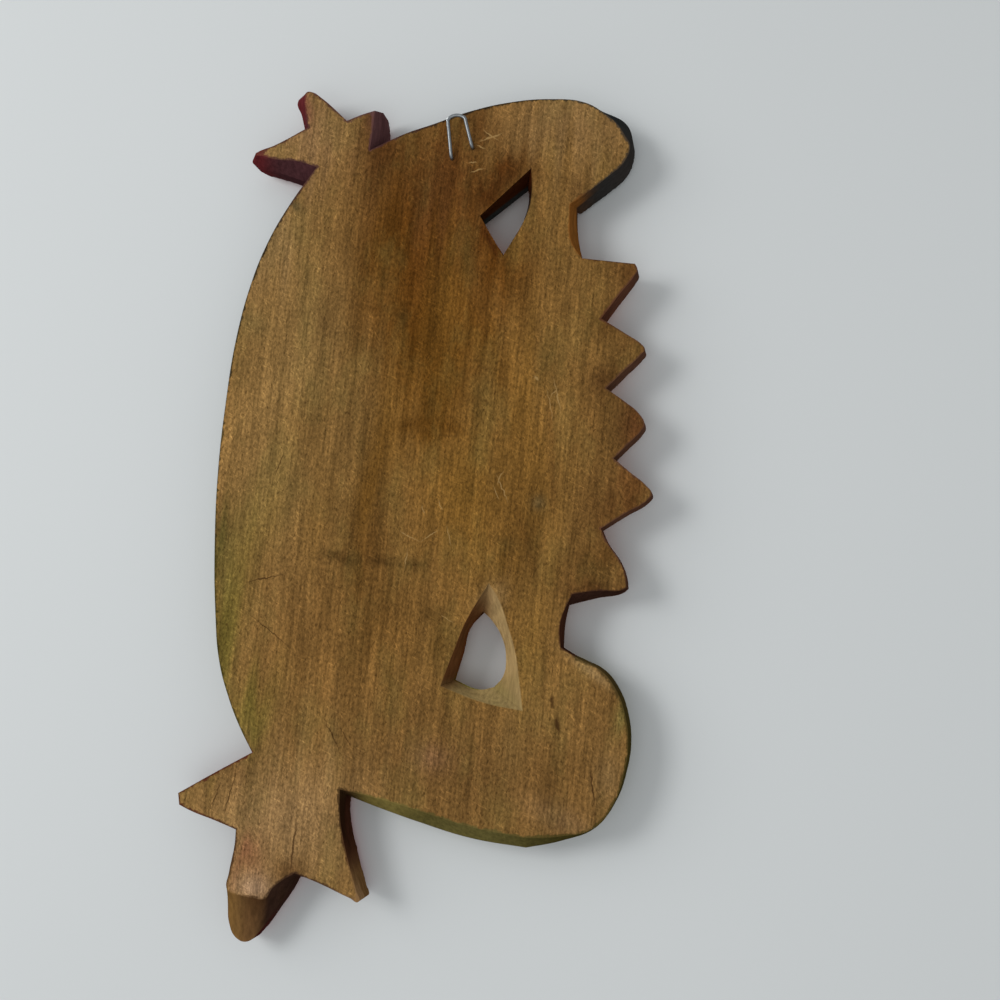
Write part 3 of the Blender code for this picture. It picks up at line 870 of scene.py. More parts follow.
# Smaller marks of the back, which keep their shape
BACK_MARKS = [
    Tint(-46.5, -122.0, 1.3, 22.0, -8.0, "#56381a", 0.55),
    Tint(-40.5, -153.0, 1.4, 16.0, -22.0, "#573a1a", 0.5),
    Tint(-14.0, -230.0, 7.0, 5.0, 0.0, "#8a6455", 0.2),
    Tint(44.5, -282.0, 7.0, 5.0, 0.0, "#9c7d60", 0.9),
    Tint(-79.0, -208.0, 2.0, 7.0, 8.0, "#6d6a38", 0.6),
    Tint(-67.0, -194.4, 10.0, 1.8, 31.0, "#a4865a", 0.6),
    Tint(-66.0, -165.8, 12.0, 1.5, -10.0, "#452c17", 0.4),
    Tint(77.0, -14.6, 4.0, 2.0, 20.0, "#844e48", 0.7),
    Tint(59.4, 4.0, 1.8, 7.0, -20.0, "#83483e", 0.7),
    Tint(33.5, 0.0, 2.0, 5.0, 0.0, "#5c3a2c", 0.6),
    Tint(58.8, -34.6, 1.4, 2.4, -36.0, "#1d2420", 0.8),
    Tint(29.0, -163.0, 4.5, 2.0, 0.0, "#3f2a13", 0.8),
    Tint(23.0, -164.5, 3.5, 1.6, 0.0, "#422c14", 0.75),
    Tint(12.0, -163.5, 7.0, 1.5, 0.0, "#463016", 0.7),
    Tint(-1.0, -163.5, 5.0, 1.8, 0.0, "#443016", 0.7),
    Tint(-33.0, -153.0, 5.0, 2.2, 14.0, "#54401f", 0.5),
    Tint(-43.0, -138.0, 2.4, 2.6, 0.0, "#5a5138", 0.5),
    Tint(70.0, -80.0, 6.0, 5.0, 30.0, "#6a5a34", 0.45),
    Tint(13.0, -74.0, 2.4, 4.0, 10.0, "#37230c", 0.6),
    Tint(24.0, -72.0, 5.0, 1.4, 0.0, "#452c10", 0.5),
    Tint(-13.0, -190.0, 5.0, 9.0, 0.0, "#55401c", 0.45),
    Tint(-10.0, -181.0, 4.0, 3.0, 0.0, "#4a3518", 0.65),
    Tint(-15.5, -30.0, 5.0, 9.0, -42.0, "#43250c", 0.8),
    Tint(-74.0, -108.0, 7.0, 9.0, 0.0, "#4c2f1a", 0.7),
    Tint(-62.0, -93.0, 6.0, 6.0, 0.0, "#4d3119", 0.7),
    Tint(-59.0, -73.0, 6.0, 6.0, 0.0, "#553819", 0.7),
    Tint(-30.0, -173.0, 4.0, 6.0, 30.0, "#957549", 0.8),
    Tint(5.0, -113.5, 9.0, 2.8, -14.0, "#52330e", 0.6),
    Tint(-8.5, -113.5, 8.0, 2.8, 14.0, "#52330e", 0.6),
    Tint(33.0, -275.0, 6.0, 4.5, -20.0, "#5a3d21", 0.75),
    Tint(-46.0, -25.0, 5.0, 6.0, 0.0, "#583d21", 0.6),
    Tint(-62.0, -246.0, 13.0, 5.0, 20.0, "#826442", 0.6),
    Tint(-76.0, -230.0, 5.0, 9.0, 0.0, "#7d6440", 0.5),
    Tint(57.0, -241.0, 6.0, 6.0, 0.0, "#694a2b", 0.6),
    Tint(-28.0, -18.0, 7.0, 5.0, 0.0, "#593916", 0.55),
    Tint(-16.5, -45.0, 1.4, 9.0, -34.0, "#3c1d0b", 0.85),
    Tint(-18.5, -22.5, 9.0, 4.0, -46.0, "#3f210b", 0.7),
    Tint(-1.0, -117.5, 6.0, 3.0, 0.0, "#52330d", 0.6),
]

# Colours of the sawn edges, and of the knife facets behind them, that differ from the paint beside
EDGE_TINTS = [
    Tint(52.0, -8.0, 34.0, 24.0, 0.0, "#43282a", 1.6),
    Tint(40.0, -276.0, 34.0, 22.0, 0.0, "#35211a", 1.5),
    Tint(33.0, 0.0, 8.0, 11.0, 0.0, "#5b3d3d", 1.5),
    Tint(15.0, -256.0, 8.0, 14.0, 0.0, "#3a2015", 1.5),
    Tint(8.0, -278.0, 6.0, 9.0, 0.0, "#6e5030", 1.3),
    # The upper horn's wall: a grey painted reflection over its dark green paint
    Tint(-63.0, -6.0, 24.0, 30.0, 0.0, "#282d2d", 1.5),
    Tint(-71.0, -105.0, 16.0, 72.0, 0.0, "#573b2d", 1.2),
    Tint(78.0, -16.0, 6.0, 5.0, 0.0, "#5a2325", 1.4),
    Tint(63.5, 4.0, 5.0, 9.0, 0.0, "#5a2325", 1.4),
    Tint(-49.0, -40.0, 4.0, 9.0, 0.0, "#6e4218", 1.6),
    Tint(-20.0, -31.0, 15.0, 7.0, -46.0, "#262725", 1.8),
    Tint(-21.0, -193.0, 5.0, 16.0, 0.0, "#59331a", 1.8),
    Tint(-35.0, -196.0, 5.0, 16.0, 0.0, "#77603a", 1.6),
    Tint(-28.0, -206.0, 12.0, 4.0, 0.0, "#6f6a2e", 1.2),
]
FACET_TINTS = [
    Tint(-45.5, -39.0, 5.0, 13.0, 0.0, "#7d4f22", 1.8),
    Tint(-37.0, -189.0, 6.0, 25.0, -21.0, "#9c8156", 1.9),
    Tint(-30.0, -207.0, 16.0, 4.0, 12.0, "#8f794e", 1.7),
    Tint(-20.5, -190.0, 4.2, 16.0, 19.0, "#5c3a20", 1.9),
    Tint(-38.0, -204.0, 2.4, 4.0, 30.0, "#6a6a24", 1.2),
    Tint(-20.0, -28.5, 16.0, 7.0, -46.0, "#1f0f07", 1.9),
    Tint(-26.5, -19.5, 4.0, 4.0, 0.0, "#371807", 1.5),
    Tint(-17.0, -43.0, 5.0, 8.0, 0.0, "#552c0c", 1.6),
    Tint(52.5, -294.0, 6.0, 12.0, 0.0, "#6d5029", 1.7),
    Tint(46.5, -294.0, 5.5, 9.0, 0.0, "#84633c", 1.4),
    Tint(37.5, -285.5, 5.0, 13.0, 28.0, "#33221a", 1.8),
    Tint(47.0, -286.8, 9.0, 1.6, -8.0, "#432c18", 1.2),
    Tint(1.0, -248.0, 13.0, 6.0, -12.0, "#756736", 1.3),
    Tint(15.5, -253.0, 4.0, 8.0, 0.0, "#2c180f", 1.5),
    Tint(4.0, -280.0, 6.0, 5.0, 0.0, "#8a6a48", 1.3),
    Tint(-30.0, -254.0, 26.0, 6.0, 4.0, "#635a32", 1.0),
    Tint(-66.0, -169.0, 14.0, 4.0, -14.0, "#36221a", 1.5),
]

# Pale scratches and dents, then dark cracks and dashes
PALE_SCRATCHES = [
    Scratch(-27.0, -129.0, -32.5, -139.0, 0.5),
    Scratch(-29.5, -127.5, -27.5, -133.0, 0.45),
    Scratch(-26.0, -133.0, -29.0, -138.5, 0.4),
    Scratch(-7.0, -139.5, -9.0, -144.0, 0.5),
    Scratch(-1.0, -142.0, -3.0, -146.0, 0.4),
    Scratch(-44.0, -93.0, -48.0, -106.0, 0.45),
    Scratch(-42.0, -97.0, -45.5, -109.0, 0.4),
    Scratch(-46.0, -96.0, -43.5, -101.0, 0.4),
    Scratch(-37.2, -92.6, -38.8, -95.0, 0.9),
    Scratch(6.0, -152.0, -2.0, -155.5, 0.45),
    Scratch(-2.0, -155.5, -9.0, -150.0, 0.45),
    Scratch(-11.0, -148.5, -13.5, -156.0, 0.45),
    Scratch(2.0, -158.0, 2.5, -166.0, 0.45),
    Scratch(-8.0, -7.6, -17.0, -4.2, 0.7),
    Scratch(-9.0, -3.0, -15.5, -7.0, 0.6),
    Scratch(-7.0, -8.6, -11.0, -10.2, 0.6),
    Scratch(-6.0, -19.4, -11.5, -17.6, 0.7),
    Scratch(-5.0, -16.0, -8.5, -15.2, 0.5),
    Scratch(-12.0, -180.0, -17.0, -183.0, 0.4),
]
DARK_SCRATCHES = [
    Scratch(-54.0, -203.5, -54.8, -209.0, 1.7),
    Scratch(-56.2, -210.5, -58.0, -217.5, 2.0),
    Scratch(-69.5, -226.0, -72.5, -241.0, 0.8),
    Scratch(52.0, -127.0, 54.5, -136.0, 0.5),
    Scratch(46.0, -171.0, 62.0, -176.0, 0.6),
    Scratch(40.0, -198.0, 61.0, -185.0, 0.4),
    Scratch(18.0, -233.0, 27.0, -219.0, 0.5),
    Scratch(14.0, -231.0, 21.0, -221.0, 0.4),
    Scratch(31.8, -255.0, 32.0, -277.0, 1.0),
    Scratch(56.0, -243.0, 59.0, -259.0, 0.5),
    Scratch(61.0, -246.0, 64.5, -258.0, 0.5),
]


@dataclass
class CarvedBoard:
    """The one-piece board: sawn to its outline, trimmed round the back and carved on the front."""

    back_y: float = -3.5
    trim_depth: float = 5.0
    outline_steps: int = 9
    front_pitch: float = 0.85
    back_pitch: float = 1.7
    edge_pitch: float = 1.8
    net_clearance: float = 0.55
    merge_distance: float = 1e-6
    slice_tolerance: float = 1e-7
    ease_passes: int = 2
    ease_share: float = 0.5
    sharp_angle: float = 38.0
    back_margin: float = 0.01
    facet_margin: float = 0.1
    front_margin: float = 1.0
    front_reach: float = 0.3
    oiled_tone: str = "#806035"
    drift_seed: int = 1
    drift_frequency: tuple[float, float] = (0.05, 0.02)
    drift_reach: float = 6.0
    grain_frequency: tuple[float, float] = (0.3, 0.008)
    grain_reach: float = 16.0
    paint_inset: float = 1.2
    paint_creep: tuple[float, ...] = (0.5, 0.8, 0.4, 1.0, 1.0)
    opening_creep: float = 0.15
    # Share of the paint's colour kept on the sawn edges: painted shade on walls that stand steep to the
    # light
    painted_edge_shade: float = 0.4

    def __post_init__(self) -> None:
        """Lay out the carving and the two rings of points that the board is lofted between."""
        self.carving = Carving()
        loops = (OUTLINE, UPPER_OPENING, LOWER_OPENING)
        self.full_rings = [outline_points(knots, self.outline_steps) for knots in loops]
        self.back_rings = [outline_points(trimmed(knots), self.outline_steps) for knots in loops]

    def blank(self) -> bmesh.types.BMesh:
        """Loft the sawn board from its trimmed back edge, through full size, to a flat front.

        Returns:
            A closed mesh whose faces carry their side.
        """
        board = bmesh.new()
        side = board.faces.layers.int.new("side")
        order = board.verts.layers.int.new("order")
        full = np.concatenate(self.full_rings)
        rim = []
        rows = []
        for ring in self.back_rings:
            loop = [board.verts.new((x * MM, self.back_y * MM, z * MM)) for x, z in ring]
            for i, vertex in enumerate(loop):
                vertex[order] = len(rows) + i
            rim += [board.edges.new((loop[i - 1], loop[i])) for i in range(len(loop))]
            rows += loop
        self.cap(board, rows, self.back_rings, self.back_pitch, Side.BACK)
        for depth in (self.trim_depth, self.carving.ground_depth):
            grown = bmesh.ops.extrude_edge_only(board, edges=rim)["geom"]
            corners = {item for item in grown if isinstance(item, bmesh.types.BMVert)}
            edges = [item for item in grown if isinstance(item, bmesh.types.BMEdge)]
            rim = [edge for edge in edges if corners.issuperset(edge.verts)]
            for face in (item for item in grown if isinstance(item, bmesh.types.BMFace)):
                face[side] = Side.EDGE
            for vertex in corners:
                x, z = full[vertex[order]]
                vertex.co = (x * MM, (self.back_y - depth) * MM, z * MM)
                rows[vertex[order]] = vertex
        self.cap(board, rows, self.full_rings, self.front_pitch, Side.FRONT)
        bmesh.ops.recalc_face_normals(board, faces=board.faces)
        return board

    def cap(
        self, board: bmesh.types.BMesh, rows: list[bmesh.types.BMVert], rings: list[np.ndarray],
        pitch: float, part: Side,
    ) -> None:
        """Fill a flat side with an even net of small triangles.

        Args:
            board: The board's mesh.
            rows: The vertices of the side's rings, one ring after another.
            rings: The same points, as rows of x and z.
            pitch: Distance between the net's points in millimetres.
            part: The side that the new faces belong to.
        """
        side = board.faces.layers.int["side"]
        rim = np.concatenate(rings)
        low = rim.min(axis=0)
        high = rim.max(axis=0)
        across, up = np.meshgrid(
            np.arange(low[0], high[0], pitch), np.arange(low[1], high[1], pitch * EQUAL_TRIANGLE_RISE)
        )
        across[1::2] += pitch / 2
        net = np.column_stack((across.ravel(), up.ravel()))
        net = net[self.on_board(net, rings)]
        net = net[nearest(net, rim)[1] > self.net_clearance * pitch]
        edges = []
        for ring in rings:
            start = len(edges)
            edges += [(start + i, start + (i + 1) % len(ring)) for i in range(len(ring))]
        points = [Vector(point) for point in np.concatenate((rim, net))]
        filled = geometry.delaunay_2d_cdt(points, edges, [], 2, self.merge_distance)
        height = rows[0].co.y
        corners = []
        for place, sources in zip(filled[0], filled[3]):
            if sources and sources[0] < len(rows):
                corners.append(rows[sources[0]])
            else:
                corners.append(board.verts.new((place.x * MM, height, place.y * MM)))
        middles = np.array([np.mean([filled[0][i] for i in triangle], axis=0) for triangle in filled[2]])
        for triangle, solid in zip(filled[2], self.on_board(middles, rings)):
            if solid:
                board.faces.new([corners[i] for i in triangle])[side] = part

    def on_board(self, points: np.ndarray, rings: list[np.ndarray]) -> np.ndarray:
        """Tell which points lie inside the outline and outside the openings."""
        kept = inside(points, rings[0])
        for opening in rings[1:]:
            kept &= ~inside(points, opening)
        return kept

    def slice_edges(self, board: bmesh.types.BMesh) -> None:
        """Cut the board's edges into even bands from back to front."""
        side = board.faces.layers.int["side"]
        last = self.carving.deepest
        for depth in np.arange(self.trim_depth + self.edge_pitch, last, self.edge_pitch):
            faces = [face for face in board.faces if face[side] == Side.EDGE]
            edges = dict.fromkeys(edge for face in faces for edge in face.edges)
            corners = dict.fromkeys(vertex for face in faces for vertex in face.verts)
            bmesh.ops.bisect_plane(
                board, geom=[*corners, *edges, *faces], dist=self.slice_tolerance,
                plane_co=(0.0, (self.back_y - depth) * MM, 0.0), plane_no=(0.0, 1.0, 0.0)
            )

    def carve(self, board: bmesh.types.BMesh) -> None:
        """Lower each point of the front to the depth of the carving, then ease the cuts."""
        side = board.faces.layers.int["side"]
        found = []
        samples = []
        for vertex in board.verts:
            centres = [face.calc_center_median() for face in vertex.link_faces if face[side] == Side.FRONT]
            if centres:
                middle = sum(centres, Vector()) / len(centres)
                found.append(vertex)
                samples.append((middle.x / MM, middle.z / MM))
        depths = self.carving.survey(np.array(samples))[0]
        for vertex, depth in zip(found, depths):
            vertex.co.y = (self.back_y - depth) * MM
        for _ in range(self.ease_passes):
            bmesh.ops.smooth_vert(board, verts=found, factor=self.ease_share, use_axis_y=True)

    def build(self) -> bpy.types.Mesh:
        """Make the board's mesh."""
        board = self.blank()
        self.carve(board)
        self.slice_edges(board)
        bmesh.ops.triangulate(board, faces=board.faces)
        side = board.faces.layers.int["side"]
        for face in board.faces:
            face.material_index = int(face[side] == Side.FRONT)
        mesh = bpy.data.meshes.new("carved_plaque")
        board.to_mesh(mesh)
        board.free()
        mesh.shade_smooth()
        mesh.set_sharp_from_angle(angle=math.radians(self.sharp_angle))
        self.colour(mesh)
        return mesh

    def colour(self, mesh: bpy.types.Mesh) -> None:
        """Store what the finish reads: the wood's tone, the paint's colour with painted shade on the sawn
        edges, the distance from the back's edge and how far paint creeps over that edge.
        """
        places = np.array([vertex.co for vertex in mesh.vertices]) / MM
        flat = places[:, [0, 2]]
        full = np.concatenate(self.full_rings)
        back = np.concatenate(self.back_rings)
        hit, reach = nearest(flat, full)
        on_back = places[:, 1] > self.back_y - self.back_margin
        on_front = places[:, 1] < self.back_y - self.carving.ground_depth + self.front_margin
        on_front &= reach > self.front_reach
        step_in = self.step_in()
        samples = np.where(on_front[:, None], flat, step_in[hit])
        pigment = self.carving.pigment(samples)
        # Darken the paint off the front: painted shade on the sawn edges
        pigment[~on_front] *= self.painted_edge_shade
        pigment = lay_tints(pigment, flat, EDGE_TINTS, ~on_front)
        on_facet = ~on_front & (places[:, 1] > self.back_y - self.trim_depth - self.facet_margin)
        pigment = lay_tints(pigment, flat, FACET_TINTS, on_facet)
        tone = np.tile(np.array(linear(self.oiled_tone)), (len(flat), 1))
        tone = lay_tints(tone, flat + self.drift(flat), BACK_TINTS, on_back)
        tone = lay_tints(tone, flat, BACK_MARKS, on_back)
        edge = np.where(on_back, nearest(flat, back)[1], 0.0)
        for name, values in (("tone", tone), ("pigment", pigment)):
            attribute = mesh.attributes.new(name, "FLOAT_COLOR", "POINT")
            rows = np.column_stack((values, np.ones(len(values))))
            attribute.data.foreach_set("color", rows.astype(np.float32).ravel())
        reach_over = np.array([self.paint_creep[part] for part in self.carving.survey(step_in)[1]])
        reach_over[len(self.full_rings[0]):] = self.opening_creep
        for name, values in (("edge", edge), ("creep", reach_over[hit])):
            attribute = mesh.attributes.new(name, "FLOAT", "POINT")
            attribute.data.foreach_set("value", values.astype(np.float32))

    def drift(self, points: np.ndarray) -> np.ndarray:
        """Return how far the oil's stains wander off their places, mostly along the grain."""
        noise.seed_set(self.drift_seed)
        wide = np.column_stack((points * self.drift_frequency, np.zeros(len(points))))
        fine = np.column_stack((points * self.grain_frequency, np.zeros(len(points))))
        moved = np.array([noise.noise_vector(place) for place in wide])[:, :2] * self.drift_reach
        moved[:, 1] += np.array([noise.noise(place) for place in fine]) * self.grain_reach
        return moved

    def step_in(self) -> np.ndarray:
        """Return the full-size rings moved into the wood, where the paint of the edges is read."""
        moved = []
        for ring in self.full_rings:
            run = np.roll(ring, -1, axis=0) - np.roll(ring, 1, axis=0)
            run = run / np.linalg.norm(run, axis=1)[:, None]
            area = np.sum(ring[:, 0] * np.roll(ring[:, 1], -1) - np.roll(ring[:, 0], -1) * ring[:, 1])
            inward = math.copysign(self.paint_inset, area) * np.column_stack((-run[:, 1], run[:, 0]))
            moved.append(ring + inward if ring is self.full_rings[0] else ring - inward)
        return np.concatenate(moved)

    def dress(self) -> bpy.types.Object:
        """Build the board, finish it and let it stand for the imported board."""
        back = OiledPaintedWood("oiled_basswood_with_painted_edges_and_painted_shade", sheen=0.0)
        front = OiledPaintedWood("brushed_paint_on_carved_basswood", sheen=0.3)
        piece = add_piece("carved_plaque", self.build(), back.material(), front.material())
        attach(piece, "root")
        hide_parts("carved_board")
        return piece


def lay_tints(
    colours: np.ndarray, points: np.ndarray, tints: Sequence[Tint], where: np.ndarray
) -> np.ndarray:
    """Lay soft patches of colour over each other.

    Args:
        colours: Rows of linear colour to start from.
        points: Rows of x and z.
        tints: The patches, first to last.
        where: Which points take the patches.

    Returns:
        Rows of mixed linear colour.
    """
    mixed = colours
    for tint in tints:
        turn = math.radians(tint.turn)
        offset = points - np.array((tint.x, tint.z))
        u = offset[:, 0] * math.cos(turn) + offset[:, 1] * math.sin(turn)
        v = offset[:, 1] * math.cos(turn) - offset[:, 0] * math.sin(turn)
        cover = np.clip(tint.strength * bump(u, v, tint.reach_x, tint.reach_z), 0.0, 1.0) * where
        mixed = mixed + (np.array(linear(tint.colour)) - mixed) * cover[:, None]
    return mixed


@dataclass
class HangerStaple:
    """The hanger: one wire bent to a loop that stands off the back, its legs driven into the board."""

    diameter: float = 1.3
    standoff: float = 3.5
    half_width: float = 3.25
    bend_radius: float = 1.4
    left_drop: float = 1.8
    right_drop: float = 1.2
    leg_depth: float = 9.0
    clearance: float = 0.3
    bend_degrees: float = 80.0
    bend_steps: int = 8
    crown_steps: int = 20
    sides_resolution: int = 5
    left_leg: tuple[float, float] = (1.1, -14.5)
    right_leg: tuple[float, float] = (-6.2, -10.2)

    def leg(self, foot: tuple[float, float], shoulder: Vector) -> list[Vector]:
        """Follow a leg from its buried end, round the bend at the board, to its shoulder.

        Args:
            foot: Where the leg enters the board, as x and z.
            shoulder: Where the crown starts.

        Returns:
            Points in order, in millimetres.
        """
        mouth = Vector((foot[0], -self.standoff, foot[1]))
        rise = Vector((shoulder.x - mouth.x, 0.0, shoulder.z - mouth.z)).normalized()
        hub = mouth + rise * self.bend_radius + Vector((0.0, self.clearance, 0.0))
        points = [mouth - Vector((0.0, self.leg_depth, 0.0))]
        for angle in np.radians(np.linspace(0.0, self.bend_degrees, self.bend_steps + 1)):
            out = Vector((0.0, math.sin(angle), 0.0)) - rise * math.cos(angle)
            points.append(hub + out * self.bend_radius)
        return points + [shoulder]

    def path(self) -> list[Vector]:
        """Return the wire's centre line from one buried end to the other."""
        left = Vector((self.half_width, 0.0, -self.left_drop))
        right = Vector((-self.half_width, 0.0, -self.right_drop))
        crown = []
        for angle in np.linspace(0.0, math.pi, self.crown_steps + 1)[1:-1]:
            point = left.lerp(right, (1.0 - math.cos(angle)) / 2)
            point.z += (self.diameter / 2 - point.z) * math.sin(angle)
            crown.append(point)
        return self.leg(self.left_leg, left) + crown + self.leg(self.right_leg, right)[::-1]

    def build(self) -> bpy.types.Mesh:
        """Make the wire's mesh."""
        curve = bpy.data.curves.new("bent_wire", "CURVE")
        curve.dimensions = "3D"
        curve.bevel_depth = self.diameter / 2 * MM
        curve.bevel_resolution = self.sides_resolution
        curve.use_fill_caps = True
        points = self.path()
        spline = curve.splines.new("POLY")
        spline.points.add(len(points) - 1)
        for point, place in zip(spline.points, points):
            point.co = (*(place * MM), 1.0)
        mesh = curve_mesh(curve)
        mesh.shade_smooth()
        return mesh

    def dress(self) -> bpy.types.Object:
        """Build the wire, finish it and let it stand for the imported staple."""
        piece = add_piece("bent_wire_loop", self.build(), GalvanisedWire().material())
        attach(piece, "root")
        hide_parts("hanger_staple")
        return piece


class Streak(NamedTuple):
    """Streaks along the grain: their width, length, and the spread of light and dark they give."""

    width: float
    length: float
    swing: float = 0.0


@dataclass(frozen=True)
class OiledPaintedWood:
    """Oiled basswood with brushed paint: a matt fibrous back, and streaky paint on edges and front.

    The fibres give fine streaks along the board's height, the oil uneven warm stains, and the
    brush a streaky coat.
    """

    name: str
    sheen: float
    speckle: Streak = Streak(0.9, 1.4, 1.2)
    fibre: Streak = Streak(0.8, 16.0, 0.8)
    bands: Streak = Streak(4.0, 90.0, 0.7)
    mottle: Streak = Streak(7.0, 22.0, 0.6)
    brush: Streak = Streak(1.4, 9.0, 0.8)
    stain: Streak = Streak(14.0, 30.0)
    fleck: Streak = Streak(0.9, 1.6)
    hair: Streak = Streak(0.45, 4.0)
    streak_low: float = 0.2
    streak_high: float = 0.8
    streak_detail: float = 4.0
    streak_roughness: float = 0.6
    hair_turns: tuple[tuple[float, float], ...] = ((34.0, 1.6), (-28.0, 0.6), (68.0, 1.6))
    hair_low: float = 0.58
    hair_high: float = 0.72
    olive: str = "#6f6234"
    olive_low: float = 0.48
    olive_high: float = 0.7
    olive_cover: float = 0.3
    fleck_colour: str = "#412a12"
    fleck_low: float = 0.58
    fleck_high: float = 0.7
    fleck_cover: float = 0.6
    pale_scratch: str = "#a08050"
    dark_scratch: str = "#3a2412"
    scratch_core: float = 0.4
    scratch_edge: float = 1.1
    scratch_cover: float = 0.8
    scratch_through: float = 1e4
    wobble_scale: float = 0.5
    wobble_detail: float = 2.0
    wobble_reach: float = 1.6
    ragged_scale: float = 0.45
    ragged_detail: float = 5.0
    ragged_roughness: float = 0.7
    ragged_low: float = 0.35
    ragged_high: float = 0.7
    creep_least: float = 0.1
    creep_most: float = 1.3
    creep_softness: float = 0.25
    creep_cover: float = 0.8
    roughness: float = 0.62
    roughness_swing: float = 0.1
    refraction: float = 1.47
    bump_strength: float = 0.6
    bump_height: float = 0.00025

    def material(self) -> bpy.types.Material:
        """Make the finish."""
        material, tree, output = new_material(self.name)
        object_place = add_node(tree, "ShaderNodeTexCoord", {}).outputs["Object"]
        place = add_node(
            tree, "ShaderNodeVectorMath", {0: object_place, "Scale": 1.0 / MM}, operation="SCALE"
        ).outputs[0]
        wood, relief = self.wood(tree, place)
        side = add_node(tree, "ShaderNodeAttribute", {}, attribute_name="side").outputs["Fac"]
        painted = add_node(
            tree, "ShaderNodeMath", {0: side, 1: (Side.BACK + Side.EDGE) / 2}, operation="GREATER_THAN"
        ).outputs[0]
        cover = add_node(
            tree, "ShaderNodeMath", {0: painted, 1: self.creep(tree, place)}, operation="MAXIMUM"
        ).outputs[0]
        colour = add_node(
            tree, "ShaderNodeMix",
            {"Factor": cover, "A": wood, "B": self.paint(tree, place)}, data_type="RGBA"
        ).outputs["Result"]
        rough = add_node(
            tree, "ShaderNodeMapRange",
            {"Value": relief, "To Min": self.roughness + self.roughness_swing,
             "To Max": self.roughness - self.roughness_swing}
        ).outputs[0]
        bumped = add_node(
            tree, "ShaderNodeBump",
            {"Strength": self.bump_strength, "Distance": self.bump_height, "Height": relief}
        ).outputs[0]
        shader = add_node(
            tree, "ShaderNodeBsdfPrincipled",
            {"Base Color": colour, "Roughness": rough, "Normal": bumped,
             "IOR": self.refraction, "Specular IOR Level": self.sheen}
        )
        tree.links.new(shader.outputs[0], output.inputs["Surface"])
        return material

    def streaks(
        self, tree: bpy.types.NodeTree, place: bpy.types.NodeSocket, streak: Streak, turn: float = 0.0
    ) -> bpy.types.NodeSocket:
        """Draw noise that is stretched along the grain.

        Args:
            tree: Node tree to add to.
            place: Position in millimetres.
            streak: The size of the streaks.
            turn: Angle from the grain in degrees.

        Returns:
            A value about 0.5.
        """
        stretched = add_node(
            tree, "ShaderNodeMapping",
            {"Vector": place, "Rotation": (0.0, math.radians(turn), 0.0),
             "Scale": (streak.width, streak.width, streak.length)},
            vector_type="TEXTURE"
        ).outputs[0]
        return add_node(
            tree, "ShaderNodeTexNoise",
            {"Vector": stretched, "Scale": 1.0, "Detail": self.streak_detail,
             "Roughness": self.streak_roughness}
        ).outputs["Fac"]

    def wood(
        self, tree: bpy.types.NodeTree, place: bpy.types.NodeSocket
    ) -> tuple[bpy.types.NodeSocket, bpy.types.NodeSocket]:
        """Colour the oiled back.

        Args:
            tree: Node tree to add to.
            place: Position in millimetres.

        Returns:
            The wood's colour, and the height of its surface from 0 to 1.
        """
        tone = add_node(tree, "ShaderNodeAttribute", {}, attribute_name="tone").outputs["Color"]
        shading = (self.speckle, self.fibre, self.bands, self.mottle)
        values = {kind: self.streaks(tree, place, kind) for kind in shading}
        level = 1.0
        for kind, value in values.items():
            part = add_node(
                tree, "ShaderNodeMapRange",
                {"Value": value, "From Min": self.streak_low, "From Max": self.streak_high,
                 "To Min": 1.0 - kind.swing / 2, "To Max": 1.0 + kind.swing / 2}
            ).outputs[0]
            level = add_node(tree, "ShaderNodeMath", {0: level, 1: part}, operation="MULTIPLY").outputs[0]
        for turn, strength in self.hair_turns:
            part = add_node(
                tree, "ShaderNodeMapRange",
                {"Value": self.streaks(tree, place, self.hair, turn), "From Min": self.hair_low,
                 "From Max": self.hair_high, "To Min": 1.0, "To Max": strength}
            ).outputs[0]
            level = add_node(tree, "ShaderNodeMath", {0: level, 1: part}, operation="MULTIPLY").outputs[0]
        greened = add_node(
            tree, "ShaderNodeMapRange",
            {"Value": self.streaks(tree, place, self.stain), "From Min": self.olive_low,
             "From Max": self.olive_high, "To Max": self.olive_cover}
        ).outputs[0]
        colour = add_node(
            tree, "ShaderNodeMix",
            {"Factor": greened, "A": tone, "B": (*linear(self.olive), 1.0)}, data_type="RGBA"
        ).outputs["Result"]
        colour = add_node(
            tree, "ShaderNodeVectorMath", {0: colour, "Scale": level}, operation="SCALE"
        ).outputs[0]
        dark = add_node(
            tree, "ShaderNodeMapRange",
            {"Value": self.streaks(tree, place, self.fleck), "From Min": self.fleck_low,
             "From Max": self.fleck_high, "To Max": self.fleck_cover}
        ).outputs[0]
        wobble = add_node(
            tree, "ShaderNodeTexNoise",
            {"Vector": place, "Scale": self.wobble_scale, "Detail": self.wobble_detail}
        ).outputs["Color"]
        centred = add_node(
            tree, "ShaderNodeVectorMath", {0: wobble, 1: (0.5, 0.5, 0.5)}, operation="SUBTRACT"
        ).outputs[0]
        wavy = add_node(
            tree, "ShaderNodeVectorMath",
            {0: centred, 1: (self.wobble_reach,) * 3, 2: place}, operation="MULTIPLY_ADD"
        ).outputs[0]
        for share, mark in (
            (dark, self.fleck_colour),
            (self.scratched(tree, wavy, PALE_SCRATCHES), self.pale_scratch),
            (self.scratched(tree, wavy, DARK_SCRATCHES), self.dark_scratch),
        ):
            colour = add_node(
                tree, "ShaderNodeMix",
                {"Factor": share, "A": colour, "B": (*linear(mark), 1.0)}, data_type="RGBA"
            ).outputs["Result"]
        relief = add_node(
            tree, "ShaderNodeMath", {0: values[self.fibre], 1: dark}, operation="SUBTRACT"
        ).outputs[0]
        return colour, relief

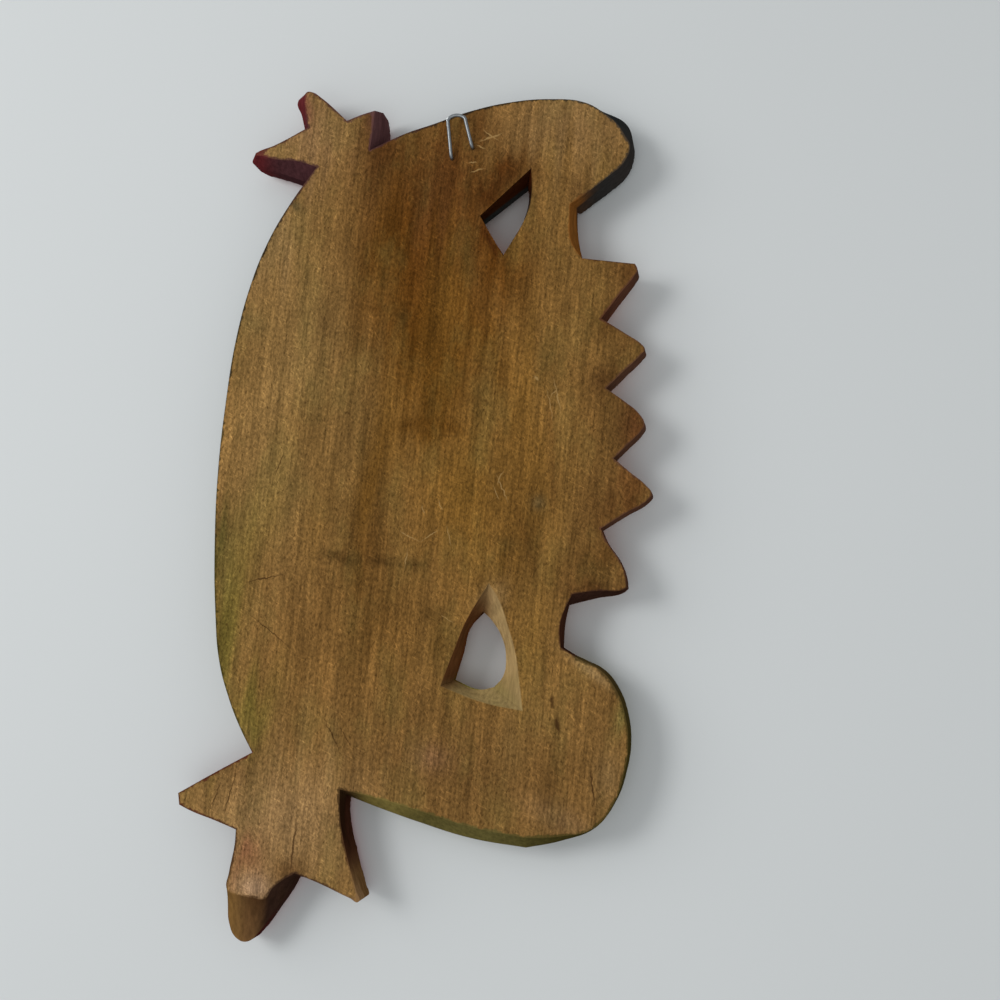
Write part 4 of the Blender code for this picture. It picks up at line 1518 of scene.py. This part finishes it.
    def scratched(
        self, tree: bpy.types.NodeTree, place: bpy.types.NodeSocket, scratches: Sequence[Scratch]
    ) -> bpy.types.NodeSocket:
        """Draw narrow marks that taper to their ends.

        Args:
            tree: Node tree to add to.
            place: Position in millimetres.
            scratches: The marks.

        Returns:
            1 on a mark and 0 off it.
        """
        total = 0.0
        for mark in scratches:
            run = Vector((mark.x1 - mark.x0, mark.z1 - mark.z0))
            local = add_node(
                tree, "ShaderNodeMapping",
                {"Vector": place, "Location": ((mark.x0 + mark.x1) / 2, 0.0, (mark.z0 + mark.z1) / 2),
                 "Rotation": (0.0, -math.atan2(run.y, run.x), 0.0),
                 "Scale": (run.length / 2, self.scratch_through, mark.width / 2)},
                vector_type="TEXTURE"
            ).outputs[0]
            reach = add_node(tree, "ShaderNodeVectorMath", {0: local}, operation="LENGTH").outputs["Value"]
            here = add_node(
                tree, "ShaderNodeMapRange",
                {"Value": reach, "From Min": self.scratch_core, "From Max": self.scratch_edge,
                 "To Min": self.scratch_cover, "To Max": 0.0}
            ).outputs[0]
            total = add_node(tree, "ShaderNodeMath", {0: total, 1: here}, operation="MAXIMUM").outputs[0]
        return total

    def creep(self, tree: bpy.types.NodeTree, place: bpy.types.NodeSocket) -> bpy.types.NodeSocket:
        """Let paint run a ragged millimetre over the arris onto the back."""
        edge = add_node(tree, "ShaderNodeAttribute", {}, attribute_name="edge").outputs["Fac"]
        ragged = add_node(
            tree, "ShaderNodeTexNoise",
            {"Vector": place, "Scale": self.ragged_scale, "Detail": self.ragged_detail,
             "Roughness": self.ragged_roughness}
        ).outputs["Fac"]
        width = add_node(
            tree, "ShaderNodeMapRange",
            {"Value": ragged, "From Min": self.ragged_low, "From Max": self.ragged_high,
             "To Min": self.creep_least, "To Max": self.creep_most}
        ).outputs[0]
        share = add_node(tree, "ShaderNodeAttribute", {}, attribute_name="creep").outputs["Fac"]
        local = add_node(tree, "ShaderNodeMath", {0: width, 1: share}, operation="MULTIPLY").outputs[0]
        short = add_node(tree, "ShaderNodeMath", {0: local, 1: edge}, operation="SUBTRACT").outputs[0]
        return add_node(
            tree, "ShaderNodeMapRange",
            {"Value": short, "From Min": -self.creep_softness, "From Max": self.creep_softness,
             "To Max": self.creep_cover}
        ).outputs[0]

    def paint(self, tree: bpy.types.NodeTree, place: bpy.types.NodeSocket) -> bpy.types.NodeSocket:
        """Colour the brushed paint, darker and lighter along the brush's streaks."""
        pigment = add_node(tree, "ShaderNodeAttribute", {}, attribute_name="pigment").outputs["Color"]
        level = add_node(
            tree, "ShaderNodeMapRange",
            {"Value": self.streaks(tree, place, self.brush), "From Min": self.streak_low,
             "From Max": self.streak_high, "To Min": 1.0 - self.brush.swing / 2,
             "To Max": 1.0 + self.brush.swing / 2}
        ).outputs[0]
        return add_node(
            tree, "ShaderNodeVectorMath", {0: pigment, "Scale": level}, operation="SCALE"
        ).outputs[0]


@dataclass(frozen=True)
class GalvanisedWire:
    """Drawn and galvanised steel wire: a soft pale grey metal with a faint cloudy zinc skin."""

    light: str = "#94989a"
    dull: str = "#6d7174"
    cloud_size: float = 0.9
    cloud_detail: float = 3.0
    roughness: float = 0.42

    def material(self) -> bpy.types.Material:
        """Make the finish."""
        material, tree, output = new_material("galvanised_steel_wire")
        place = add_node(tree, "ShaderNodeTexCoord", {}).outputs["Object"]
        cloud = add_node(
            tree, "ShaderNodeTexNoise",
            {"Vector": place, "Scale": 1.0 / (self.cloud_size * MM), "Detail": self.cloud_detail}
        ).outputs["Fac"]
        colour = add_node(
            tree, "ShaderNodeMix",
            {"Factor": cloud, "A": (*linear(self.light), 1.0), "B": (*linear(self.dull), 1.0)},
            data_type="RGBA"
        ).outputs["Result"]
        shader = add_node(
            tree, "ShaderNodeBsdfPrincipled",
            {"Base Color": colour, "Metallic": 1.0, "Roughness": self.roughness}
        )
        tree.links.new(shader.outputs[0], output.inputs["Surface"])
        return material


@dataclass(frozen=True)
class PaleSheet:
    """A matt white table top, seen from its lit side alone so that it hides nothing from the front."""

    colour: str = "#cdd0d0"
    cloud_scale: float = 3.0
    cloud_detail: float = 2.0
    cloud_swing: float = 0.03

    def material(self) -> bpy.types.Material:
        """Make the finish."""
        material, tree, output = new_material("matt_white_table")
        place = add_node(tree, "ShaderNodeTexCoord", {}).outputs["Object"]
        cloud = add_node(
            tree, "ShaderNodeTexNoise",
            {"Vector": place, "Scale": self.cloud_scale, "Detail": self.cloud_detail}
        ).outputs["Fac"]
        level = add_node(
            tree, "ShaderNodeMapRange",
            {"Value": cloud, "To Min": 1.0 - self.cloud_swing, "To Max": 1.0 + self.cloud_swing}
        ).outputs[0]
        colour = add_node(
            tree, "ShaderNodeVectorMath", {0: linear(self.colour), "Scale": level}, operation="SCALE"
        ).outputs[0]
        matt = add_node(tree, "ShaderNodeBsdfDiffuse", {"Color": colour}).outputs[0]
        clear = add_node(tree, "ShaderNodeBsdfTransparent", {}).outputs[0]
        path = add_node(tree, "ShaderNodeLightPath", {})
        behind = add_node(tree, "ShaderNodeNewGeometry", {}).outputs["Backfacing"]
        seen = add_node(
            tree, "ShaderNodeMath", {0: path.outputs["Is Camera Ray"], 1: path.outputs["Is Glossy Ray"]},
            operation="MAXIMUM"
        ).outputs[0]
        shown = add_node(
            tree, "ShaderNodeMath", {0: seen, 1: behind}, operation="SUBTRACT", use_clamp=True
        ).outputs[0]
        shader = add_node(tree, "ShaderNodeMixShader", {0: shown, 1: clear, 2: matt}).outputs[0]
        tree.links.new(shader, output.inputs["Surface"])
        return material


@dataclass
class TableTop:
    """The pale table that the plaque lies on with its carved face down."""

    surface_y: float = -21.7
    middle_z: float = -150.0
    half_size: float = 1600.0

    def build(self) -> bpy.types.Object:
        """Build the table."""
        top = bmesh.new()
        place = Matrix.Translation((0.0, self.surface_y * MM, self.middle_z * MM))
        facing_back = Matrix.Rotation(math.radians(-90.0), 4, "X")
        bmesh.ops.create_grid(
            top, x_segments=1, y_segments=1, size=self.half_size * MM, matrix=place @ facing_back
        )
        mesh = bpy.data.meshes.new("table_top")
        top.to_mesh(mesh)
        top.free()
        table = add_piece("table_top", mesh, PaleSheet().material())
        return table


@dataclass
class PhotoCamera:
    """The camera above the plaque's back, placed from where the picture's vanishing point falls."""

    place: tuple[float, float, float] = (-112.1, 446.5, -182.6)
    focal_pixels: float = 1303.0
    image_pixels: float = 1000.0
    straight_down_right: float = 227.0
    straight_down_low: float = 150.0
    plaque_turn: float = 5.782
    sensor_width: float = 36.0
    clip_start: float = 0.01

    def build(self) -> bpy.types.Object:
        """Add the camera and make it the scene's own."""
        data = bpy.data.cameras.new("photo_camera")
        data.sensor_width = self.sensor_width
        data.lens = self.focal_pixels / self.image_pixels * data.sensor_width
        data.clip_start = self.clip_start
        camera = bpy.data.objects.new("photo_camera", data)
        bpy.context.scene.collection.objects.link(camera)
        down = Vector((self.straight_down_right, self.straight_down_low, self.focal_pixels)).normalized()
        first = (Vector((1.0, 0.0, 0.0)) - down * down.x).normalized()
        second = down.cross(first)
        turn = math.radians(self.plaque_turn)
        world = (
            (first, Vector((-math.cos(turn), 0.0, math.sin(turn)))),
            (second, Vector((-math.sin(turn), 0.0, -math.cos(turn)))),
            (down, Vector((0.0, -1.0, 0.0))),
        )
        axes = []
        for own in (Vector((1.0, 0.0, 0.0)), Vector((0.0, -1.0, 0.0)), Vector((0.0, 0.0, -1.0))):
            axes.append(sum((direction * own.dot(basis) for basis, direction in world), Vector()))
        turned = Matrix(axes).transposed().to_4x4()
        camera.matrix_world = Matrix.Translation(Vector(self.place) * MM) @ turned
        bpy.context.scene.camera = camera
        return camera


class Lamp(NamedTuple):
    """A soft square lamp: its place in metres, its size and its power in watts."""

    name: str
    place: tuple[float, float, float]
    size: float
    power: float


@dataclass
class Studio:
    """Plain soft light on both sides of the plaque."""

    sky: str = "#f1f4f6"
    sky_strength: float = 0.56
    aim: tuple[float, float, float] = (0.0, -0.01, -0.14)
    lamps: tuple[Lamp, ...] = (
        Lamp("key", (0.75, 1.05, 0.02), 0.45, 4.7),
        Lamp("window", (0.95, 0.75, 0.1), 0.9, 3.6),
        Lamp("ceiling", (-0.15, 1.2, -0.5), 0.8, 2.4),
        Lamp("front", (0.8, -0.8, 0.65), 0.4, 13.0),
    )

    def build(self) -> None:
        """Set the world and hang the lamps."""
        scene = bpy.context.scene
        scene.view_settings.view_transform = "Standard"
        world = bpy.data.worlds.new("pale_room")
        world.use_nodes = True
        sky = world.node_tree.nodes["Background"]
        sky.inputs["Color"].default_value = (*linear(self.sky), 1.0)
        sky.inputs["Strength"].default_value = self.sky_strength
        scene.world = world
        for lamp in self.lamps:
            data = bpy.data.lights.new(lamp.name, "AREA")
            data.size = lamp.size
            data.energy = lamp.power
            item = bpy.data.objects.new(lamp.name, data)
            item.location = lamp.place
            towards = Vector(self.aim) - Vector(lamp.place)
            item.rotation_euler = towards.to_track_quat("-Z", "Y").to_euler()
            scene.collection.objects.link(item)


def main() -> None:
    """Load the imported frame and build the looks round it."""
    logging.basicConfig(level=logging.INFO, format="%(name)s: %(message)s")
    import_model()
    PhotoCamera().build()
    Studio().build()
    TableTop().build()
    CarvedBoard().dress()
    HangerStaple().dress()


if __name__ == "__main__":
    main()
